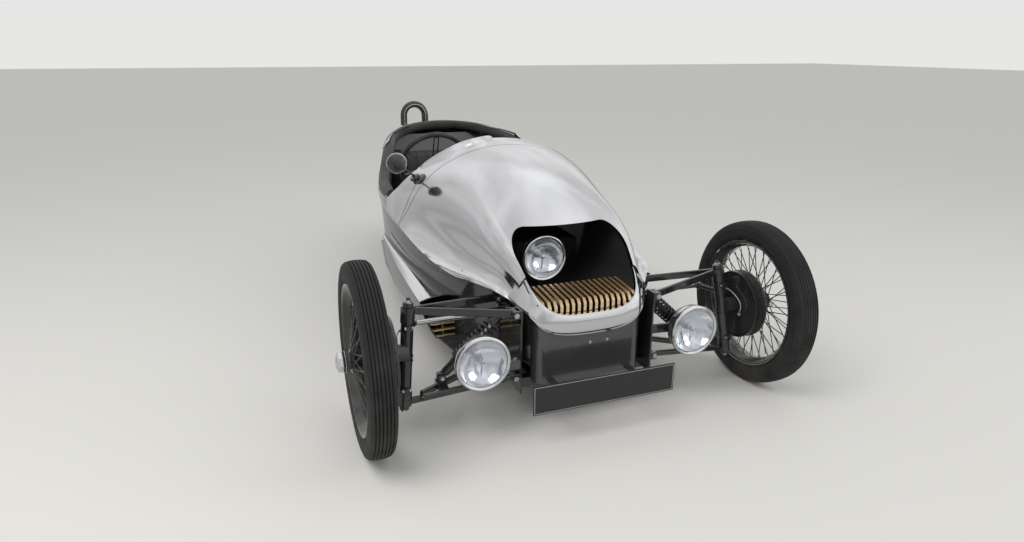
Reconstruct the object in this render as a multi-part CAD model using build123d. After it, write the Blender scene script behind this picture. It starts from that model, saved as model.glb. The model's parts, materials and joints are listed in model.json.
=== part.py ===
from build123d import *
from math import atan2, cos, pi, radians, sin, tan
import os

os.makedirs("parts", exist_ok=True)

# Millimetres. X is the vehicle's left side, -Y its front, Z up.
# Every station along Y is measured from the front axle, every height from the ground.

# Running gear
TRACK = 1515.0            # between the front tyres' middles
WHEELBASE = 2340.0
FRONT_RADIUS = 319.0      # over the tread
FRONT_TYRE_WIDTH = 88.0
RIM_RADIUS = 247.0        # rim flange
RIM_WIDTH = 78.0
REAR_RADIUS = 312.0
REAR_TYRE_WIDTH = 178.0
REAR_RIM_RADIUS = 214.0
REAR_RIM_WIDTH = 150.0
SPOKES = 40
SPOKE_R = 2.3
DRUM_RADIUS = 130.0
DRUM_WIDTH = 44.0
DRUM_IN = 76.0            # drum's inner edge from the tyre's middle
HUB_R = 30.0
AXLE_R = 14.0
HUB_BORE_PLAY = 0.06
SPINNER_REACH = 95.0      # spinner's face from the tyre's middle
FIT = 0.3                 # between pieces that rest on each other

# Rear end, from the rear axle
REAR_ROW = WHEELBASE - 690       # last section ahead of the cockpit's end
SURROUND_END = WHEELBASE - 410
PIVOT_Y = WHEELBASE - 385        # swing arm's pivot
PIVOT_Z = 250.0
TAIL_END = WHEELBASE + 690
SEAT_FOOT_Y = WHEELBASE - 660    # where the seat's bulkhead meets the floor

# Sheet metal
SKIN = 4.0
SEAM = 3.0                # gap between neighbouring panels
NOSE_Y = -100.0
CHIN = 13.0               # the nose ring stands this far ahead of the nose
BONNET_END = 735.0
COWL_END = 870.0          # front edge of the cockpit
SCUTTLE_END = 965.0
FLOOR_Z = 176.0
RAIL_Z = (140.0, FLOOR_Z - FIT)    # chassis rails, under the floor

# King pin, from the tyre's middle and the axle's height
HALF_TRACK = TRACK / 2
PIN_TOP = (HALF_TRACK - 150.5, 33.0, FRONT_RADIUS + 132)
PIN_BOTTOM = (HALF_TRACK - 116.5, -12.0, FRONT_RADIUS - 172)
PIN_R = 10.0
PIN_PLAY = 0.06
UPRIGHT_R = 24.0
EYE_T = 22.0              # thickness of the wishbone's eye

# Suspension pickups on the carrier plates
CARRIER_X = 250.0
CARRIER_T = 6.0
PICKUP_FRONT_Y = -62.0
PICKUP_REAR_Y = 108.0
UPPER_PICKUP_Z = 430.0
LOWER_PICKUP_Z = 200.0
BUSH_R = 14.0
BUSH_L = 30.0
PICKUP_X = CARRIER_X + CARRIER_T + BUSH_R + FIT
CLEVIS_GAP = 0.3
UPPER_BLADE = (11.0, 27.0)       # thickness and depth of the upper arm's legs
LOWER_BLADE = (18.0, 22.0)
DAMPER_Y = 22.0
DAMPER_TOP_Z = 400.0
DAMPER_FOOT_X = HALF_TRACK - 252.5
DAMPER_FOOT_Z = 202.0
DAMPER_R = 17.0
COIL_R = 31.0

# Steering
RACK_Y = 112.0
RACK_Z = 372.0
ROD_R = 9.0
ROD_PLAY = 0.3
BOSS_X = HALF_TRACK - 175.5      # steering arm's end
BOSS_R = 14.0
ROD_REACH = BOSS_X - BOSS_R - 8
WHEEL_CENTRE = (-240.0, 1070.0, 760.0)
WHEEL_RAKE = 28.0
STEER_RIM_R = 165.0
STEER_GRIP_R = 13.0
SHAFT_R = 10.0
SHAFT_BACK = 200.0               # shaft's far end, behind the steering wheel
COLUMN_R = 20.0

# Lamps
LAMP_R = 95.0
LAMP_DEPTH = 105.0
SIDE_LAMP = (402.0, -136.0, 298.0)
CENTRE_LAMP = (-61.0, 170.0, 533.0)
CENTRE_LAMP_R = 88.0
STEM_R = 9.0

# Nose opening and its bars
OPEN_TOP = (234.0, 664.0)        # half width and height
OPEN_FOOT = (184.0, 416.0)
OPEN_TOP_R = 70.0
OPEN_FOOT_R = 112.0
LIP_DEPTH = 18.0
LIP_WIDTH = 5.0
BOX_WALL = 3.0
BAR_COUNT = 17
BAR_PITCH = 21.7
BAR_T = 11.0

PLATE = (529.0, 103.0, 3.0)      # width, height and thickness
PLATE_Y = -222.0                 # front face
PLATE_Z = 182.0

Y_MID = (TAIL_END - FRONT_RADIUS) / 2


def put(name, shape):
    """Writes one node, with the origin moved under the middle of the car."""
    export_step(Pos(0, -Y_MID, 0) * shape, f"parts/{name}.step")


def other_side(shape):
    return mirror(shape, about=Plane.YZ)


def rod(start, end, radius):
    start, end = Vector(*start), Vector(*end)
    way = end - start
    return Solid.make_cylinder(radius, way.length, Plane(origin=start, z_dir=way))


def blade(start, end, thick, deep):
    """A straight flat bar that stands on edge."""
    start, end = Vector(*start), Vector(*end)
    way = end - start
    plane = Plane(origin=start, x_dir=way.cross(Vector(0, 0, 1)), z_dir=way)
    return extrude(plane * RectangleRounded(thick, deep, thick * 0.3), way.length)


def block(x, y, z):
    """A box from its limits along each axis."""
    size = [abs(b - a) for a, b in (x, y, z)]
    return Pos((x[0] + x[1]) / 2, (y[0] + y[1]) / 2, (z[0] + z[1]) / 2) * Box(*size)


def on_x(profile, centre):
    """Turns an outline of (along X, radius) points about an axis along X."""
    face = make_face(Polyline(*profile, close=True))
    return Pos(*centre) * revolve(face, Axis.X)


# The body's half sections. crown is the top's height; shoulder, waist, flare and hem are
# (half width, height) pairs down the side: the top's arc ends at the shoulder, the side's
# at the waist, and the outward sweep of the wing line at the flare.
SECTIONS = [
    # y, crown, shoulder, waist, flare, hem
    (NOSE_Y, 446, (160, 442), (200, 434), (216, 408), (213, 392)),
    (0, 562, (185, 545), (236, 488), (262, 455), (250, 432)),
    (100, 640, (212, 612), (268, 540), (332, 485), (312, 458)),
    (200, 700, (226, 664), (294, 560), (372, 481), (353, 457)),
    (400, 795, (236, 738), (334, 580), (420, 487), (404, 462)),
    (600, 850, (256, 786), (388, 628), (463, 528), (450, 503)),
    (800, 881, (272, 816), (431, 670), (487, 575), (480, 548)),
    (1000, 890, (292, 828), (450, 695), (492, 600), (487, 574)),
    (1300, 884, (318, 832), (432, 730), (461, 604), (456, 574)),
    (REAR_ROW, 872, (284, 838), (364, 752), (392, 600), (388, 565)),
    (SURROUND_END, 858, (215, 818), (298, 700), (325, 590), (321, 545)),
    (WHEELBASE - 40, 775, (140, 728), (206, 620), (225, 520), (222, 480)),
    (WHEELBASE + 360, 620, (62, 588), (98, 510), (112, 450), (110, 420)),
    (TAIL_END, 480, (14, 474), (24, 452), (30, 430), (29, 410)),
]


def turned(vector, angle):
    return (vector[0] * cos(angle) - vector[1] * sin(angle),
            vector[0] * sin(angle) + vector[1] * cos(angle))


def tangent_at_end(start, tangent, end):
    """Direction in which an arc that leaves start along tangent arrives at end."""
    chord = atan2(end[1] - start[1], end[0] - start[0])
    return turned((cos(chord), sin(chord)), chord - atan2(tangent[1], tangent[0]))


def half_points(row, inset):
    """Shoulder, waist, flare and hem with the directions there, moved inward by inset."""
    y, crown, shoulder, waist, flare, hem = row
    way = tangent_at_end((0, crown), (1, 0), shoulder)
    points, ways = [shoulder], [way]
    for start, end in ((shoulder, waist), (waist, flare)):
        way = tangent_at_end(start, way, end)
        points.append(end)
        ways.append(way)
    moved = [(p[0] + inset * w[1], p[1] - inset * w[0]) for p, w in zip(points, ways)]
    return (0, crown - inset), moved, ways


def body_section(row, inset=0.0, drop=0.0):
    """Closed section at one station; drop carries the hem further down, to cut with."""
    crown, (shoulder, waist, flare), ways = half_points(row, inset)
    hem = (row[5][0] - inset, row[5][1] - drop)
    plane = Plane(origin=(0, row[0], 0), x_dir=(1, 0, 0), z_dir=(0, -1, 0))

    def at(p, side=1):
        return plane.from_local_coords((p[0] * side, p[1], 0))

    def along(w, side):
        return plane.from_local_coords((w[0] * side, w[1], 0)) - plane.origin

    left = [
        Edge.make_tangent_arc(at(shoulder), along(ways[0], 1), at(waist)),
        Edge.make_tangent_arc(at(waist), along(ways[1], 1), at(flare)),
        Edge.make_line(at(flare), at(hem)),
    ]
    right = [
        Edge.make_tangent_arc(at(shoulder, -1), along(ways[0], -1), at(waist, -1)),
        Edge.make_tangent_arc(at(waist, -1), along(ways[1], -1), at(flare, -1)),
        Edge.make_line(at(flare, -1), at(hem, -1)),
    ]
    top = Edge.make_three_point_arc(at(shoulder, -1), at(crown), at(shoulder))
    foot = Edge.make_line(at(hem), at(hem, -1))
    return Wire([top, *left, foot, *right[::-1]])


def body_loft(inset=0.0, drop=0.0, start=NOSE_Y):
    return Solid.make_loft([body_section(row, inset, drop) for row in SECTIONS if row[0] >= start])


def band(y0, y1, low=0.0, high=1200.0):
    return block((-700, 700), (y0, y1), (low, high))


OUTER = body_loft()
INNER = body_loft(SKIN, 60.0) & band(NOSE_Y + SKIN, TAIL_END - SKIN)
LINER = body_loft(SKIN + FIT, 60.0) & band(NOSE_Y + SKIN + FIT, SURROUND_END)


def skin(y0, y1):
    """The body's sheet between two stations."""
    return (OUTER & band(y0, y1)) - INNER


def opening_prism(grow=0.0):
    """The nose opening's rounded outline, run through along Y."""
    top_w, top_z = OPEN_TOP
    foot_w, foot_z = OPEN_FOOT
    outline = FilletPolyline((-foot_w - grow, foot_z - grow), (foot_w + grow, foot_z - grow),
                             (top_w + grow, top_z + grow), (-top_w - grow, top_z + grow),
                             radius=(OPEN_FOOT_R, OPEN_FOOT_R, OPEN_TOP_R, OPEN_TOP_R), close=True)
    face = Plane.XZ.offset(200) * make_face(outline)
    return extrude(face, -640)


def make_bonnet():
    """The long nose panel, with a turned-in lip round its opening and the ring's chin below."""
    flare_w, flare_z = SECTIONS[0][4]
    smile = make_face(Wire([
        Edge.make_three_point_arc((flare_w, flare_z), (flare_w * 0.62, 356), (0, 342)),
        Edge.make_three_point_arc((0, 342), (-flare_w * 0.62, 356), (-flare_w, flare_z)),
        Edge.make_line((-flare_w, flare_z), (-flare_w * 0.86, 436)),
        Edge.make_line((-flare_w * 0.86, 436), (flare_w * 0.86, 436)),
        Edge.make_line((flare_w * 0.86, 436), (flare_w, flare_z)),
    ]))
    chin = extrude(Plane.XZ.offset(-NOSE_Y) * smile, CHIN)
    near = (OUTER & band(NOSE_Y, 420)) - (body_loft(LIP_DEPTH, 60.0) & band(NOSE_Y + SKIN, 430))
    lip = near & (opening_prism(LIP_WIDTH) - opening_prism())
    put("bonnet", (skin(NOSE_Y, BONNET_END) + chin - opening_prism()) + lip)


# The deflector ahead of the driver, in stations across the scuttle.
HUMP = [
    # x, foot y, foot z, top y, top z
    (-352, 800, 756, 846, 778),
    (-305, 752, 784, 830, 820),
    (-235, 743, 823, 810, 862),
    (-165, 742, 849, 800, 889),
    (-105, 744, 862, 806, 900),
    (-55, 770, 868, 830, 902),
    (-24, 810, 872, 860, 892),
]


def hump_section(row):
    x, foot_y, foot_z, top_y, top_z = row

    def at(y, z):
        return Vector(x, y, z)

    foot, top, back, under = at(foot_y, foot_z), at(top_y, top_z), at(top_y + 44, top_z - 26), at(foot_y + 14, foot_z - 18)
    hollow = at((foot_y + top_y) / 2 + 5, (foot_z + top_z) / 2 - 4)
    crest = at(top_y + 24, top_z - 6)
    return Wire([Edge.make_three_point_arc(foot, hollow, top), Edge.make_three_point_arc(top, crest, back),
                 Edge.make_line(back, under), Edge.make_line(under, foot)])


# The padded roll round the cockpit: the left half, from the front end to the middle behind.
COAMING = [
    # x, y, top, bottom
    (455, SCUTTLE_END + SEAM, 668, 579),
    (455, 1090, 668, 578),
    (446, 1200, 672, 577),
    (428, 1300, 690, 582),
    (396, REAR_ROW - 250, 740, 640),
    (352, REAR_ROW - 135, 797, 722),
    (302, REAR_ROW + 15, 826, 770),
    (218, REAR_ROW + 125, 854, 802),
    (110, REAR_ROW + 184, 868, 818),
]
COAMING_BACK = (0, REAR_ROW + 206, 872, 822)
COAMING_WIDTH = 46.0


def coaming_section(here, before, after, grow=0.0):
    """An upright rounded outline across the roll's course."""
    way = Vector(after[0] - before[0], after[1] - before[1], 0)
    x, y, top, bottom = here
    plane = Plane(origin=(x, y, (top + bottom) / 2), x_dir=way.cross(Vector(0, 0, 1)), z_dir=way)
    wide, tall = COAMING_WIDTH / 2 + grow, (top - bottom) / 2 + grow
    corner = 15 + grow
    bend = corner * (1 - sin(pi / 4))

    def at(u, v):
        return plane.from_local_coords((u, v, 0))

    edges = []
    for su, sv in ((1, 1), (-1, 1), (-1, -1), (1, -1)):
        side, end = at(su * wide, sv * (tall - corner)), at(su * (wide - corner), sv * tall)
        first, last = (side, end) if su * sv > 0 else (end, side)
        edges.append(Edge.make_three_point_arc(first, at(su * (wide - bend), sv * (tall - bend)), last))
    joined = []
    for n, arc in enumerate(edges):
        joined += [arc, Edge.make_line(arc @ 1, edges[(n + 1) % 4] @ 0)]
    return Wire(joined)


def coaming_loft(grow=0.0):
    course = COAMING + [COAMING_BACK] + [(-x, y, top, bottom) for x, y, top, bottom in COAMING[::-1]]
    ends = [course[0], *course, course[-1]]
    return Solid.make_loft([coaming_section(ends[n + 1], ends[n], ends[n + 2], grow) for n in range(len(course))])


ROLL_ROOM = coaming_loft(FIT)


def cockpit_cut():
    """The cockpit's hole in the sheet, from the side and from above; its edge lies in the roll."""
    side = make_face(FilletPolyline((COWL_END, 1000), (COWL_END, 764), (905, 690), (SCUTTLE_END, 628), (1290, 628),
                                    (REAR_ROW - 250, 690), (REAR_ROW - 135, 760), (REAR_ROW - 90, 1000),
                                    radius=16, close=True))
    plan = make_face(FilletPolyline((-400, COWL_END), (400, COWL_END), (352, REAR_ROW - 135), (302, REAR_ROW + 15),
                                    (110, REAR_ROW + 190), (-110, REAR_ROW + 190), (-302, REAR_ROW + 15),
                                    (-352, REAR_ROW - 135), radius=40, close=True))
    return extrude(Plane.YZ * side, 700, both=True) + (extrude(plan, 1000) & band(800, SURROUND_END, 600, 1000))


def make_upper_body():
    """Scuttle with the driver's deflector, the panel round the cockpit and the padded roll."""
    hump = Solid.make_loft([hump_section(row) for row in HUMP]) - INNER
    put("scuttle", (skin(BONNET_END + SEAM, SCUTTLE_END) - cockpit_cut()) + (hump & band(BONNET_END + SEAM, 1000)))
    put("cockpit_surround", skin(SCUTTLE_END + SEAM, SURROUND_END) - cockpit_cut() - ROLL_ROOM)
    put("coaming", coaming_loft())


def make_tail():
    inside = body_loft(SKIN, 60.0, REAR_ROW) & band(REAR_ROW - 50, TAIL_END - SKIN)
    put("tail_deck", (body_loft(start=REAR_ROW) & band(SURROUND_END + SEAM, TAIL_END)) - inside)


# Lower body, tucked in below the hem.
TUB_START = NOSE_Y + 52
TUB = [
    # y, half width at the top, half width at the floor, top
    (TUB_START, 205, 203, 380),
    (100, 226, 220, 430),
    (350, 352, 330, 456),
    (600, 436, 404, 500),
    (1000, 482, 446, 573),
    (1300, 451, 428, 573),
    (REAR_ROW, 383, 366, 564),
    (SURROUND_END, 316, 304, 544),
]
TUB_CORNER = 46.0


TUB_RISE = 420.0          # how far the walls run on, inside the upper body


def tub_section(row, inset=0.0, rise=0.0):
    y, top_w, foot_w, top = row
    lean = (top_w - foot_w) / (top - FLOOR_Z - TUB_CORNER)
    top_w, top = top_w + lean * rise, top + rise
    corner = TUB_CORNER - inset
    top_w, foot_w, floor = top_w - inset, foot_w - inset, FLOOR_Z + inset
    bend = corner * (1 - sin(pi / 4))

    def at(x, z):
        return Vector(x, y, z)

    right_up, left_up = at(-foot_w, floor + corner), at(foot_w, floor + corner)
    right_in, left_in = at(-foot_w + corner, floor), at(foot_w - corner, floor)
    return Wire([
        Edge.make_line(at(-top_w, top), right_up),
        Edge.make_three_point_arc(right_up, at(-foot_w + bend, floor + bend), right_in),
        Edge.make_line(right_in, left_in),
        Edge.make_three_point_arc(left_in, at(foot_w - bend, floor + bend), left_up),
        Edge.make_line(left_up, at(top_w, top)),
        Edge.make_line(at(top_w, top), at(-top_w, top)),
    ])


def tub_loft(inset=0.0):
    return Solid.make_loft([tub_section(row, inset, TUB_RISE) for row in TUB])


TUB_OUTER = tub_loft()
TUB_INNER = tub_loft(SKIN)
TUB_ROOM = tub_loft(SKIN + FIT)

# Side scoops: half sections from the mouth back to where they fade into the side.
POD = [
    # y, inner x, outer top x, outer foot x, inner top, outer top
    (335, 352, 498, 438, 372, 362),
    (600, 428, 503, 450, 402, 384),
    (850, 473, 501, 456, 424, 412),
    (1040, 484, 492, 452, 440, 436),
]
TRAY_Z = 197.0
TRAY_T = 6.0
# The flat undertray's outer edge.
TRAY = [
    # y, half width
    (165, 400),
    (360, 430),
    (700, 455),
    (1050, 452),
    (1400, 428),
    (SURROUND_END - 100, 366),
]


def pod_section(row, inset=0.0):
    y, inner, outer, foot, inner_top, outer_top = row
    floor = TRAY_Z + TRAY_T + FIT + inset
    outer, foot, inner = outer - inset, foot - inset, inner - 130
    rise = 12.0

    def at(x, z):
        return Vector(x, y, z)

    a, b = at(inner, floor), at(foot, floor)
    c, d = at(outer, outer_top - inset), at(inner + 130, inner_top - inset)
    middle = at((inner + 130 + outer) / 2, (outer_top + inner_top) / 2 + rise - inset)
    bulge = at((outer + foot) / 2 + 10, (outer_top + floor) / 2)
    e = at(inner, inner_top - inset - 20)
    return Wire([Edge.make_line(a, b), Edge.make_three_point_arc(b, bulge, c), Edge.make_three_point_arc(c, middle, d),
                 Edge.make_line(d, e), Edge.make_line(e, a)])


def make_lower_body():
    sill = [(row[0], row[3]) for row in TUB]
    below = extrude(Plane.YZ * make_face(Polyline((TUB_START, 0), *sill, (SURROUND_END, 0), close=True)), 700, both=True)
    shell = TUB_OUTER - TUB_INNER
    ways = rod((-700, RACK_Y, RACK_Z), (700, RACK_Y, RACK_Z), ROD_R + 7)
    tub = (shell & below) + ((shell & LINER) - opening_prism(BOX_WALL + 9 + FIT) - cockpit_cut())
    bulkhead = TUB_INNER & block((-400, 400), (60, 64), (FLOOR_Z, OPEN_FOOT[1] - BOX_WALL - 9 - FIT))
    lean = seat_plane()
    rear = (lean * Pos(0, 320, -2) * Box(1000, 640, 4)) & TUB_INNER
    put("tub", (tub - ways + bulkhead + (rear & LINER) + (rear & below)) - ROLL_ROOM)
    pod = Solid.make_loft([pod_section(row) for row in POD])
    duct = Solid.make_loft([pod_section(row, SKIN) for row in POD[:3]])
    scoop = pod - duct - TUB_OUTER
    edge = [(half, y) for y, half in TRAY]
    start, end = (180, TRAY[0][0]), (180, TRAY[-1][0] + 60)
    sheet = extrude(make_face(FilletPolyline(start, *edge, end, radius=30, close=True)), TRAY_T)
    tray = Pos(0, 0, TRAY_Z) * sheet - TUB_OUTER
    for name, thing in (("pod", scoop), ("undertray", tray)):
        put(f"{name}_left", thing)
        put(f"{name}_right", other_side(thing))


def make_front_panel():
    """A bent sheet closing the tub's front, with rounded vertical corners."""
    half, front, corner, low, high = 205, NOSE_Y + 0.5, 46, 170, 388

    def plan(inset, stop):
        w, f = half - inset, front + inset
        return make_face(FilletPolyline((-w, stop), (-w, f), (w, f), (w, stop), radius=(0.5, corner - inset,
                                        corner - inset, 0.5), close=True))

    sheet = extrude(plan(0, TUB_START), high - low) - extrude(plan(SKIN, TUB_START + 10), 300)
    put("front_panel", Pos(0, 0, low) * sheet)


def make_nose():
    outside = opening_prism(BOX_WALL + 9)
    box = (outside & band(-80, 420)) - (opening_prism(9) & band(-90, 417))
    lamp_x, lamp_y, lamp_z = CENTRE_LAMP
    stem_y = lamp_y + LAMP_DEPTH * 0.55
    stem = rod((lamp_x, stem_y, OPEN_FOOT[1] - 10), (lamp_x, stem_y, lamp_z), STEM_R)
    stem -= Pos(*CENTRE_LAMP) * lamp_body(CENTRE_LAMP_R, LAMP_DEPTH)
    put("nose_box", (box & LINER) - opening_prism(LIP_WIDTH + FIT) + stem)
    bars = []
    span = (BAR_COUNT - 1) * BAR_PITCH
    profile = make_face(FilletPolyline((-88, 408), (-88, 458), (70, 470), (70, 408), radius=(0.5, 22, 4, 0.5),
                                       close=True))
    for n in range(BAR_COUNT):
        x = -span / 2 + n * BAR_PITCH
        plane = Plane(origin=(x - BAR_T / 2, 0, 0), x_dir=(0, 1, 0), z_dir=(1, 0, 0))
        bars.append(extrude(plane * profile, BAR_T))
    comb = block((-span / 2, span / 2), (55, 70), (425, 460))
    for bar in bars:
        comb += bar
    put("nose_bars", comb & (body_loft(LIP_DEPTH + FIT, 60) & band(NOSE_Y, 420)) & opening_prism(9 - FIT))


def lamp_body(radius, depth):
    """The lamp's outer form without its hollow."""
    return revolve(make_face(Polyline((0, 0), (radius - 9, 0), (radius, 6), (radius, 20), (radius - 7, 26),
                                      (radius * 0.72, depth * 0.7), (radius * 0.38, depth), (0, depth),
                                      close=True)), Axis.Y)


def lamp_shell(radius, depth):
    """Bucket and rim ring, facing -Y, with the rim's front face at the origin."""
    profile = make_face(Polyline((radius - 9, 0), (radius, 6), (radius, 20), (radius - 7, 26),
                                 (radius * 0.72, depth * 0.7), (radius * 0.38, depth), (0, depth), (0, depth - 3),
                                 (radius * 0.36, depth - 3), (radius * 0.69, depth * 0.67), (radius - 12, 24),
                                 (radius - 12, 3), close=True))
    return revolve(profile, Axis.Y)


def lamp_lens(radius):
    inside = radius - 12.3
    dome = make_face(Polyline((0, -4), (inside * 0.5, -2), (inside, 4), (inside, 10), (0, 6), close=True))
    return revolve(dome, Axis.Y)


def make_lamps():
    x, y, z = SIDE_LAMP
    for name, place, radius in (("left", (x, y, z), LAMP_R), ("right", (-x, y, z), LAMP_R),
                                ("centre", CENTRE_LAMP, CENTRE_LAMP_R)):
        put(f"lamp_{name}", Pos(*place) * lamp_shell(radius, LAMP_DEPTH))
        put(f"lens_{name}", Pos(*place) * lamp_lens(radius))


def make_plate():
    wide, tall, thick = PLATE
    back = PLATE_Y + thick
    plate = block((-wide / 2, wide / 2), (PLATE_Y, back), (PLATE_Z - tall / 2, PLATE_Z + tall / 2))
    for side in (-1, 1):
        plate += block((side * 150 - 12, side * 150 + 12), (back, NOSE_Y + 0.5), (PLATE_Z, PLATE_Z + 6))
    put("number_plate", plate)


def make_chassis():
    frame = block((-CARRIER_X, CARRIER_X), (-40, 0), RAIL_Z)
    frame += block((-CARRIER_X, CARRIER_X), (70, 110), RAIL_Z)
    rear_y = PIVOT_Y - 75
    face = CARRIER_X + CARRIER_T
    x, y, z = SIDE_LAMP
    former = body_loft(SKIN + FIT, 60.0, REAR_ROW) & band(SURROUND_END + 8, SURROUND_END + 16, 430, 1000)
    parts = []
    for part_y in (PICKUP_FRONT_Y, PICKUP_REAR_Y):
        for part_z in (UPPER_PICKUP_Z, LOWER_PICKUP_Z):
            for edge in (-1, 1):
                near = part_y + edge * (BUSH_L / 2 + CLEVIS_GAP)
                parts.append(block((face, PICKUP_X + 9), (near, near + edge * 8), (part_z - 14, part_z + 14)))
    parts.append(block((CARRIER_X, face), (-84, 134), (140, 424)))
    parts.append(block((CARRIER_X, face), (-88, -36), (400, 446)))
    parts.append(block((CARRIER_X, face), (82, 134), (400, 446)))
    parts.append(rod((CARRIER_X, RACK_Y, RACK_Z), (face + 48, RACK_Y, RACK_Z), 18))
    parts.append(block((face, face + 12), (DAMPER_Y - 22, DAMPER_Y + 22), (DAMPER_TOP_Z - 14, DAMPER_TOP_Z + 14)))
    parts.append(blade((CARRIER_X + 4, -72, z + 4), (x - 40, y + 62, z), 10, 34) - Pos(x, y, z) * lamp_body(LAMP_R, LAMP_DEPTH))
    parts.append(block((160, 200), (0, rear_y), RAIL_Z))
    parts.append(block((160, 176), (rear_y, PIVOT_Y + 20), RAIL_Z))
    parts.append(block((160, 176), (SURROUND_END + 4, PIVOT_Y + 20), (140, PIVOT_Z + 30)))
    parts.append(block((160, 176), (SURROUND_END + 4, SURROUND_END + 16), (PIVOT_Z, 520)))
    for part in parts:
        frame += part
        frame += other_side(part)
    for cross_y in (900, rear_y - 40):
        frame += block((-200, 200), (cross_y, cross_y + 40), RAIL_Z)
    frame -= rod((-CARRIER_X - 70, RACK_Y, RACK_Z), (CARRIER_X + 70, RACK_Y, RACK_Z), ROD_R + ROD_PLAY)
    put("chassis", frame + former)


PIN_WAY = (Vector(*PIN_TOP) - Vector(*PIN_BOTTOM)).normalized()
PIN_LENGTH = (Vector(*PIN_TOP) - Vector(*PIN_BOTTOM)).length


def on_pin(height):
    """Point on the king pin's axis at a distance above its lower centre."""
    return Vector(*PIN_BOTTOM) + PIN_WAY * height


def pin_cylinder(radius, low, high):
    return Solid.make_cylinder(radius, high - low, Plane(origin=on_pin(low), z_dir=PIN_WAY))


def wishbone(height, pickup_z, section):
    """Two legs from an eye on the king pin to bushes on the carrier."""
    half = EYE_T / 2
    arm = pin_cylinder(UPRIGHT_R, height - half, height + half)
    room = pin_cylinder(UPRIGHT_R + 40, half, PIN_LENGTH - half)
    for low, high in ((-half - 30, -half), (PIN_LENGTH + half, PIN_LENGTH + half + 30)):
        room += pin_cylinder(UPRIGHT_R + 2, low, high)
    for y in (PICKUP_FRONT_Y, PICKUP_REAR_Y):
        arm += blade(tuple(on_pin(height)), (PICKUP_X, y, pickup_z), *section) - room
        arm += rod((PICKUP_X, y - BUSH_L / 2, pickup_z), (PICKUP_X, y + BUSH_L / 2, pickup_z), BUSH_R)
    return arm - pin_cylinder(PIN_R + PIN_PLAY, height - EYE_T * 2, height + EYE_T * 2)


def make_suspension():
    foot = (DAMPER_FOOT_X, DAMPER_Y, DAMPER_FOOT_Z)
    top = (PICKUP_X + 14, DAMPER_Y, DAMPER_TOP_Z)
    lower = wishbone(0, LOWER_PICKUP_Z, LOWER_BLADE)
    lower += block((DAMPER_FOOT_X - 14, DAMPER_FOOT_X + 14), (DAMPER_Y - 45, DAMPER_Y + 34), (158, 180))
    way = Vector(*foot) - Vector(*top)
    unit = rod(top, foot, DAMPER_R)
    unit += Solid.make_cylinder(COIL_R, way.length * 0.62, Plane(origin=Vector(*top) + way * 0.12, z_dir=way))
    unit += rod((CARRIER_X + CARRIER_T + 12, DAMPER_Y, DAMPER_TOP_Z), top, 12)
    unit += rod(foot, (DAMPER_FOOT_X, DAMPER_Y, 180), 12)
    upper = wishbone(PIN_LENGTH, UPPER_PICKUP_Z, UPPER_BLADE)
    for name, thing in (("upper_wishbone", upper), ("lower_wishbone", lower), ("damper", unit)):
        put(f"{name}_left", thing)
        put(f"{name}_right", other_side(thing))


def make_knuckles():
    gap = 1.0
    low, high = EYE_T / 2 + gap, PIN_LENGTH - EYE_T / 2 - gap
    knuckle = pin_cylinder(UPRIGHT_R - 3, low, high) + pin_cylinder(PIN_R, -EYE_T / 2 - 6, PIN_LENGTH + EYE_T / 2 + 4)
    for start in (low, high - 26):
        knuckle += pin_cylinder(UPRIGHT_R, start, start + 26)
    knuckle += pin_cylinder(UPRIGHT_R - 6, PIN_LENGTH + EYE_T / 2 + gap, PIN_LENGTH + EYE_T / 2 + 15)
    knuckle += pin_cylinder(UPRIGHT_R - 8, -EYE_T / 2 - 13, -EYE_T / 2 - gap)
    middle = on_pin((FRONT_RADIUS - PIN_BOTTOM[2]) / PIN_WAY.Z)
    plate_x = HALF_TRACK - DRUM_IN - 8
    knuckle += rod((middle.X, 0, FRONT_RADIUS), (HALF_TRACK + 60, 0, FRONT_RADIUS), AXLE_R)
    knuckle += rod((middle.X, 0, FRONT_RADIUS), (plate_x, 0, FRONT_RADIUS), 30)
    knuckle += rod((plate_x, 0, FRONT_RADIUS), (plate_x + 4, 0, FRONT_RADIUS), DRUM_RADIUS - 8)
    on_axis = on_pin((RACK_Z - PIN_BOTTOM[2]) / PIN_WAY.Z)
    knuckle += rod((on_axis.X, on_axis.Y, RACK_Z), (BOSS_X, RACK_Y, RACK_Z), 9)
    knuckle += Pos(BOSS_X, RACK_Y, RACK_Z) * Cylinder(BOSS_R, 20)
    put("knuckle_left", knuckle)
    put("knuckle_right", other_side(knuckle))


def spoke(start, end):
    """A drawn wire, six-sided."""
    start, end = Vector(*start), Vector(*end)
    way = end - start
    return extrude(Plane(origin=start, z_dir=way) * RegularPolygon(SPOKE_R, 6), way.length)


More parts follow.
